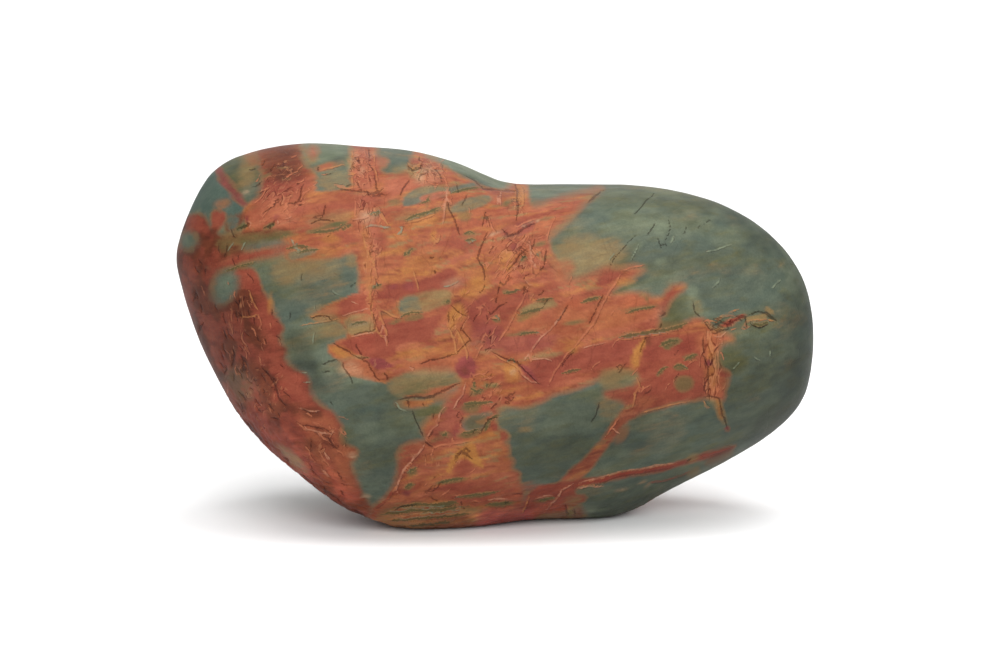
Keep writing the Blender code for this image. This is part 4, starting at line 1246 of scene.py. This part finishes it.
def maths(tree, operation, *values):
    node = put(tree, "ShaderNodeMath", dict(enumerate(values)), operation=operation)
    return node.outputs[0]


def eased(tree, value, low, high):
    """A smooth step from 0 at low to 1 at high."""
    values = {"Value": value, "From Min": low, "From Max": high}
    node = put(tree, "ShaderNodeMapRange", values, interpolation_type="SMOOTHSTEP")
    return node.outputs["Result"]


def ranged(tree, value, low, high, to_low, to_high):
    values = {"Value": value, "From Min": low, "From Max": high, "To Min": to_low,
              "To Max": to_high}
    return put(tree, "ShaderNodeMapRange", values).outputs["Result"]


def mixed(tree, share, below, above, blend="MIX"):
    """Lays a colour over another."""
    node = put(tree, "ShaderNodeMix", {}, data_type="RGBA", blend_type=blend)
    return fill(node, {0: share, 6: below, 7: above}).outputs[2]


def grouped(name, inputs, outputs):
    """A shader group with named sockets, and its given and result nodes."""
    group = bpy.data.node_groups.new(name, "ShaderNodeTree")
    for side, sockets in (("INPUT", inputs), ("OUTPUT", outputs)):
        for label, kind in sockets.items():
            group.interface.new_socket(label, in_out=side, socket_type="NodeSocket" + kind)
    return group, group.nodes.new("NodeGroupInput").outputs, group.nodes.new("NodeGroupOutput")


# One pigment of a family: it adds its colour and its weight to those of the ones before.
pigment_layer, given, result = grouped(
    "pigment layer",
    {"Colour Below": "Vector", "Weight Below": "Float", "Share": "Float", "Fray": "Float",
     "Light": "Color", "Deep": "Color", "Mottle": "Float"},
    {"Colour": "Vector", "Weight": "Float"})
weight = maths(pigment_layer, "MULTIPLY", given["Share"], given["Fray"])
own = mixed(pigment_layer, given["Mottle"], given["Light"], given["Deep"])
total = put(pigment_layer, "ShaderNodeVectorMath", {0: own}, operation="MULTIPLY_ADD")
spread_weight = put(pigment_layer, "ShaderNodeCombineXYZ", {0: weight, 1: weight, 2: weight})
fill(total, {1: spread_weight.outputs[0], 2: given["Colour Below"]})
fill(result, {"Colour": total.outputs[0],
              "Weight": maths(pigment_layer, "ADD", weight, given["Weight Below"])})

# One healed line: its body, and the shadowed rim along its lower right side.
healed_line, given, result = grouped(
    "healed line", {"Line": "Vector", "Fray": "Float"},
    {"Cover": "Float", "Rim": "Float", "Edge": "Float", "Tint": "Float"})
parts = put(healed_line, "ShaderNodeSeparateXYZ", {"Vector": given["Line"]}).outputs
body = maths(healed_line, "MAXIMUM", maths(healed_line, "ABSOLUTE", parts["X"]), parts["Y"])
rim_place = maths(healed_line, "ABSOLUTE", maths(healed_line, "SUBTRACT", parts["X"], 1.5))
rim = maths(healed_line, "MAXIMUM", rim_place, maths(healed_line, "SUBTRACT", parts["Y"], 1.6))
fill(result, {
    "Cover": eased(healed_line, maths(healed_line, "ADD", body, given["Fray"]), 1.4, 0.5),
    "Rim": eased(healed_line, maths(healed_line, "ADD", rim, given["Fray"]), 0.9, 0.1),
    "Edge": eased(healed_line, body, 2.1, 1.3),
    "Tint": parts["Z"]})

jasper = bpy.data.materials.new("honed_jasper")
jasper.use_nodes = True
tree = jasper.node_tree
shader = tree.nodes["Principled BSDF"]
on_stone = tree.nodes.new("ShaderNodeTexCoord").outputs["Object"]


def noise_of(size, vector, detail=3.0, roughness=0.55, distortion=0.0):
    """Noise with features of that size in metres."""
    return put(tree, "ShaderNodeTexNoise", {
        "Vector": vector, "Scale": 1 / size, "Detail": detail, "Roughness": roughness,
        "Distortion": distortion}).outputs


BED_STRETCH = (4.5, 2.5, 1.0)
in_beds = put(tree, "ShaderNodeMapping", {
    "Vector": on_stone, "Rotation": (0, -BED_TILT, 0), "Scale": BED_STRETCH},
    vector_type="TEXTURE").outputs[0]
BLOCK_STRETCH = (2.0, 1.5, 1.0)
in_blocks = put(tree, "ShaderNodeMapping", {
    "Vector": on_stone, "Rotation": (0, -BED_TILT, 0), "Scale": BLOCK_STRETCH},
    vector_type="TEXTURE").outputs[0]
streak = noise_of(1.3 * MM, in_beds, 4, 0.65)
patch = noise_of(3.5 * MM, in_blocks, 4, 0.6)["Fac"]
grain = noise_of(0.6 * MM, on_stone, 2, 0.6)["Fac"]
frays = put(tree, "ShaderNodeSeparateColor", {"Color": streak["Color"]}).outputs
mottle = ranged(tree, maths(tree, "ADD", maths(tree, "MULTIPLY", frays["Red"], 0.25),
                            maths(tree, "MULTIPLY", patch, 0.75)), 0.36, 0.64, 0, 1)
fray_by_number = [ranged(tree, frays[channel], 0.3, 0.7, 0.3, 1.7)
                  for channel in ("Red", "Green", "Blue")]

weight_of = {}
layer = None
for index, name in enumerate(PIGMENTS):
    if index % 3 == 0:
        stored = put(tree, "ShaderNodeAttribute", {}, attribute_name="pigments_" + name)
        stored = put(tree, "ShaderNodeSeparateXYZ", {0: stored.outputs["Vector"]}).outputs
    light, deep = SHADES[name]
    below = {"Colour Below": (0, 0, 0), "Weight Below": 0.0}
    if layer:
        below = {"Colour Below": layer["Colour"], "Weight Below": layer["Weight"]}
    layer = put(tree, "ShaderNodeGroup", {}, node_tree=pigment_layer)
    layer = fill(layer, below | {
        "Share": stored[index % 3], "Fray": fray_by_number[index % 3],
        "Light": linear(light), "Deep": linear(deep), "Mottle": mottle}).outputs
    weight_of[name] = layer["Weight"]
all_weights = maths(tree, "MAXIMUM", layer["Weight"], 1e-6)
colour = put(tree, "ShaderNodeVectorMath", {
    0: layer["Colour"], "Scale": maths(tree, "DIVIDE", 1.0, all_weights)},
    operation="SCALE").outputs[0]
warm_share = maths(tree, "SUBTRACT", 1.0,
                   maths(tree, "DIVIDE", weight_of[FAMILIES["green"][-1]], all_weights))

# A thin ochre halo lies in places where a warm stain ends against the green.
HALO_SHADE = (170, 132, 84)
inner = eased(tree, warm_share, 0.03, 0.4)
outer = eased(tree, warm_share, 0.97, 0.6)
halo = maths(tree, "MULTIPLY", maths(tree, "MULTIPLY", inner, outer),
             ranged(tree, patch, 0.4, 0.65, 0.0, 0.35))
colour = mixed(tree, halo, colour, linear(HALO_SHADE))
stored = put(tree, "ShaderNodeAttribute", {}, attribute_name="tone_and_braids")
tone_here, upright_here, slanting_here = put(tree, "ShaderNodeSeparateXYZ", {
    0: stored.outputs["Vector"]}).outputs
# The tone scales the colour: deeper and paler glass, with painted shade at the right end and painted light along
# the foot.
colour = put(tree, "ShaderNodeVectorMath", {0: colour, "Scale": tone_here},
             operation="SCALE").outputs[0]

# Braids: fine wandering fissures, each dark line with a pale healed one beside it.
THREAD_SHADE = (210, 142, 100)
FISSURED = (0.42, 0.26, 0.22, 1)
raised = {}
for name, here, lean in (("upright", upright_here, 0.05), ("slanting", slanting_here, 0.6)):
    run = put(tree, "ShaderNodeMapping", {
        "Vector": on_stone, "Rotation": (0, lean, 0), "Scale": (1.0, 1.5, 4.5)},
        vector_type="TEXTURE").outputs[0]
    threads = noise_of(1.9 * MM, run, 1.5, 0.5, 0.35)["Fac"]
    crowd = maths(tree, "ADD", noise_of(3.0 * MM, on_stone, 2)["Fac"],
                  maths(tree, "MULTIPLY", here, 0.5))
    crowd = eased(tree, crowd, 0.72, 0.95)
    for part, level, wide in (("thread", 0.56, 0.04), ("fissure", 0.5, 0.026)):
        off = maths(tree, "ABSOLUTE", maths(tree, "SUBTRACT", threads, level))
        cover = maths(tree, "MULTIPLY", eased(tree, off, wide, 0.2 * wide), crowd)
        raised[name, part] = cover
        if part == "thread":
            colour = mixed(tree, maths(tree, "MULTIPLY", cover, 0.42), colour,
                           linear(THREAD_SHADE))
        else:
            colour = mixed(tree, maths(tree, "MULTIPLY", cover, 0.85), colour, FISSURED,
                           "MULTIPLY")

fray = ranged(tree, grain, 0.3, 0.7, -0.6, 0.6)
lines = {}
for name in ("healed_veins", "dark_cracks"):
    stored = put(tree, "ShaderNodeAttribute", {}, attribute_name=name)
    layer = put(tree, "ShaderNodeGroup", {}, node_tree=healed_line)
    lines[name] = fill(layer, {"Line": stored.outputs["Vector"], "Fray": fray}).outputs
vein, crack = lines["healed_veins"], lines["dark_cracks"]
tints = put(tree, "ShaderNodeValToRGB", {"Fac": vein["Tint"]})
while len(tints.color_ramp.elements) < len(VEIN_SHADES):
    tints.color_ramp.elements.new(0.5)
for element, (name, rgb) in zip(tints.color_ramp.elements, VEIN_SHADES):
    element.position = TINTS[name]
    element.color = linear(rgb)
DARKENED = (0.42, 0.33, 0.31, 1)
SLIVER_EDGE = (184, 138, 88)
# Painted shadow along the lower right side of each vein.
rim = maths(tree, "MULTIPLY", vein["Rim"], 0.6)
colour = mixed(tree, rim, colour, DARKENED, "MULTIPLY")
broken = ranged(tree, noise_of(2.5 * MM, on_stone, 2)["Fac"], 0.42, 0.56, 0.3, 0.72)
sliver = eased(tree, vein["Tint"], 0.85, 0.95)
edged = maths(tree, "MULTIPLY", maths(tree, "MULTIPLY", vein["Edge"], sliver), 0.3)
colour = mixed(tree, edged, colour, linear(SLIVER_EDGE))
broken = maths(tree, "MAXIMUM", broken, maths(tree, "MULTIPLY", sliver, 0.8))
colour = mixed(tree, maths(tree, "MULTIPLY", vein["Cover"], broken), colour, tints.outputs[0])
strength = maths(tree, "MULTIPLY", crack["Cover"], crack["Tint"])
colour = mixed(tree, strength, colour, (0.20, 0.10, 0.08, 1), "MULTIPLY")

# Fine crazing: hairline cracks too many to trace, in short runs across the beds.
warp = put(tree, "ShaderNodeVectorMath", {
    0: noise_of(5 * MM, on_stone, 2)["Color"], "Scale": 3 * MM}, operation="SCALE").outputs[0]
warped = put(tree, "ShaderNodeVectorMath", {0: on_stone, 1: warp}).outputs[0]
crazing = None
for size, turn, seed in ((9 * MM, (0, 0.6, 0), 0.0), (6 * MM, (0, -0.9, 0.4), 4.0)):
    turned = put(tree, "ShaderNodeMapping", {
        "Vector": warped, "Rotation": turn, "Location": (seed * size, 0, 0),
        "Scale": (1.0, 0.5, 0.45)}).outputs[0]
    cells = put(tree, "ShaderNodeTexVoronoi", {"Vector": turned, "Scale": 1 / size},
                feature="DISTANCE_TO_EDGE").outputs["Distance"]
    hair = eased(tree, cells, 0.022, 0.004)
    runs = eased(tree, noise_of(7 * MM, turned, 1)["Fac"], 0.52, 0.62)
    hair = maths(tree, "MULTIPLY", hair, runs)
    crazing = hair if crazing is None else maths(tree, "MAXIMUM", crazing, hair)
crazed = maths(tree, "MULTIPLY", crazing, ranged(tree, warm_share, 0, 1, 0.05, 0.2))
colour = mixed(tree, crazed, colour, DARKENED, "MULTIPLY")
grainy = ranged(tree, grain, 0.3, 0.7, 0.9, 1.1)
colour = put(tree, "ShaderNodeVectorMath", {0: colour, "Scale": grainy},
             operation="SCALE").outputs[0]
fill(shader, {"Base Color": colour, "Specular IOR Level": 0.12,
              "Roughness": ranged(tree, grain, 0.3, 0.7, 0.5, 0.64)})

height = maths(tree, "MULTIPLY", grain, 0.03 * MM)
for cover, rise in ((crack["Cover"], -0.15 * MM), (vein["Cover"], 0.03 * MM),
                    (crazing, -0.04 * MM), (raised["upright", "fissure"], -0.08 * MM),
                    (raised["slanting", "fissure"], -0.08 * MM)):
    height = maths(tree, "MULTIPLY_ADD", cover, rise, height)
bump = put(tree, "ShaderNodeBump", {"Height": height, "Distance": 1.0, "Strength": 1.0})
fill(shader, {"Normal": bump.outputs["Normal"]})

skin.materials.append(jasper)
skin.polygons.foreach_set("use_smooth", [True] * len(skin.polygons))
cobble = bpy.data.objects.new("worn_cobble", skin)
bpy.context.scene.collection.objects.link(cobble)
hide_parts("stone")
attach(cobble, "root")


# The studio: a pale sweep of paper, a broad soft light overhead, a weaker one in front
# and a pale surround.
SWEEP_WIDE, SWEEP_FRONT, SWEEP_BACK, SWEEP_RISE = 6.0, -3.0, 1.6, 2.4
SWEEP_BEND = 0.9
BEND_STEPS = 16
profile = [(SWEEP_FRONT, 0.0)]
for step in range(BEND_STEPS + 1):
    turn = math.pi / 2 * step / BEND_STEPS
    profile.append((SWEEP_BACK - SWEEP_BEND * (1 - math.sin(turn)),
                    SWEEP_BEND * (1 - math.cos(turn))))
profile.append((SWEEP_BACK, SWEEP_RISE))
rows = [(side * SWEEP_WIDE / 2, y, z) for y, z in profile for side in (-1, 1)]
quads = [(2 * i, 2 * i + 1, 2 * i + 3, 2 * i + 2) for i in range(len(profile) - 1)]
paper = bpy.data.meshes.new("paper_sweep")
paper.from_pydata(rows, [], quads)
paper.polygons.foreach_set("use_smooth", [True] * len(paper.polygons))
white = bpy.data.materials.new("pale_paper")
white.use_nodes = True
fill(white.node_tree.nodes["Principled BSDF"], {
    "Base Color": (0.8, 0.8, 0.8, 1), "Roughness": 0.9, "Specular IOR Level": 0.1})
paper.materials.append(white)
sweep = bpy.data.objects.new("paper_sweep", paper)
bpy.context.scene.collection.objects.link(sweep)


def soft_light(name, place, aim, size, power):
    """A square soft light that faces aim."""
    lamp = bpy.data.lights.new(name, "AREA")
    lamp.size = size
    lamp.energy = power
    holder = bpy.data.objects.new(name, lamp)
    holder.location = place
    holder.rotation_euler = (Vector(aim) - Vector(place)).to_track_quat("-Z", "Y").to_euler()
    bpy.context.scene.collection.objects.link(holder)


soft_light("overhead", (0.25, -0.35, 1.4), (0, 0, 0.05), 1.2, 16)
soft_light("front", (0.25, -1.8, 1.05), (0, 0, 0.06), 1.2, 42)
soft_light("backdrop", (0.0, 0.2, 1.6), (0, 1.6, 0.6), 1.6, 20)
world = bpy.data.worlds.new("pale_surround")
world.use_nodes = True
world.node_tree.nodes["Background"].inputs["Color"].default_value = (1, 1, 1, 1)
world.node_tree.nodes["Background"].inputs["Strength"].default_value = 0.28
bpy.context.scene.world = world
bpy.context.scene.view_settings.view_transform = "Standard"
bpy.context.scene.view_settings.look = "None"
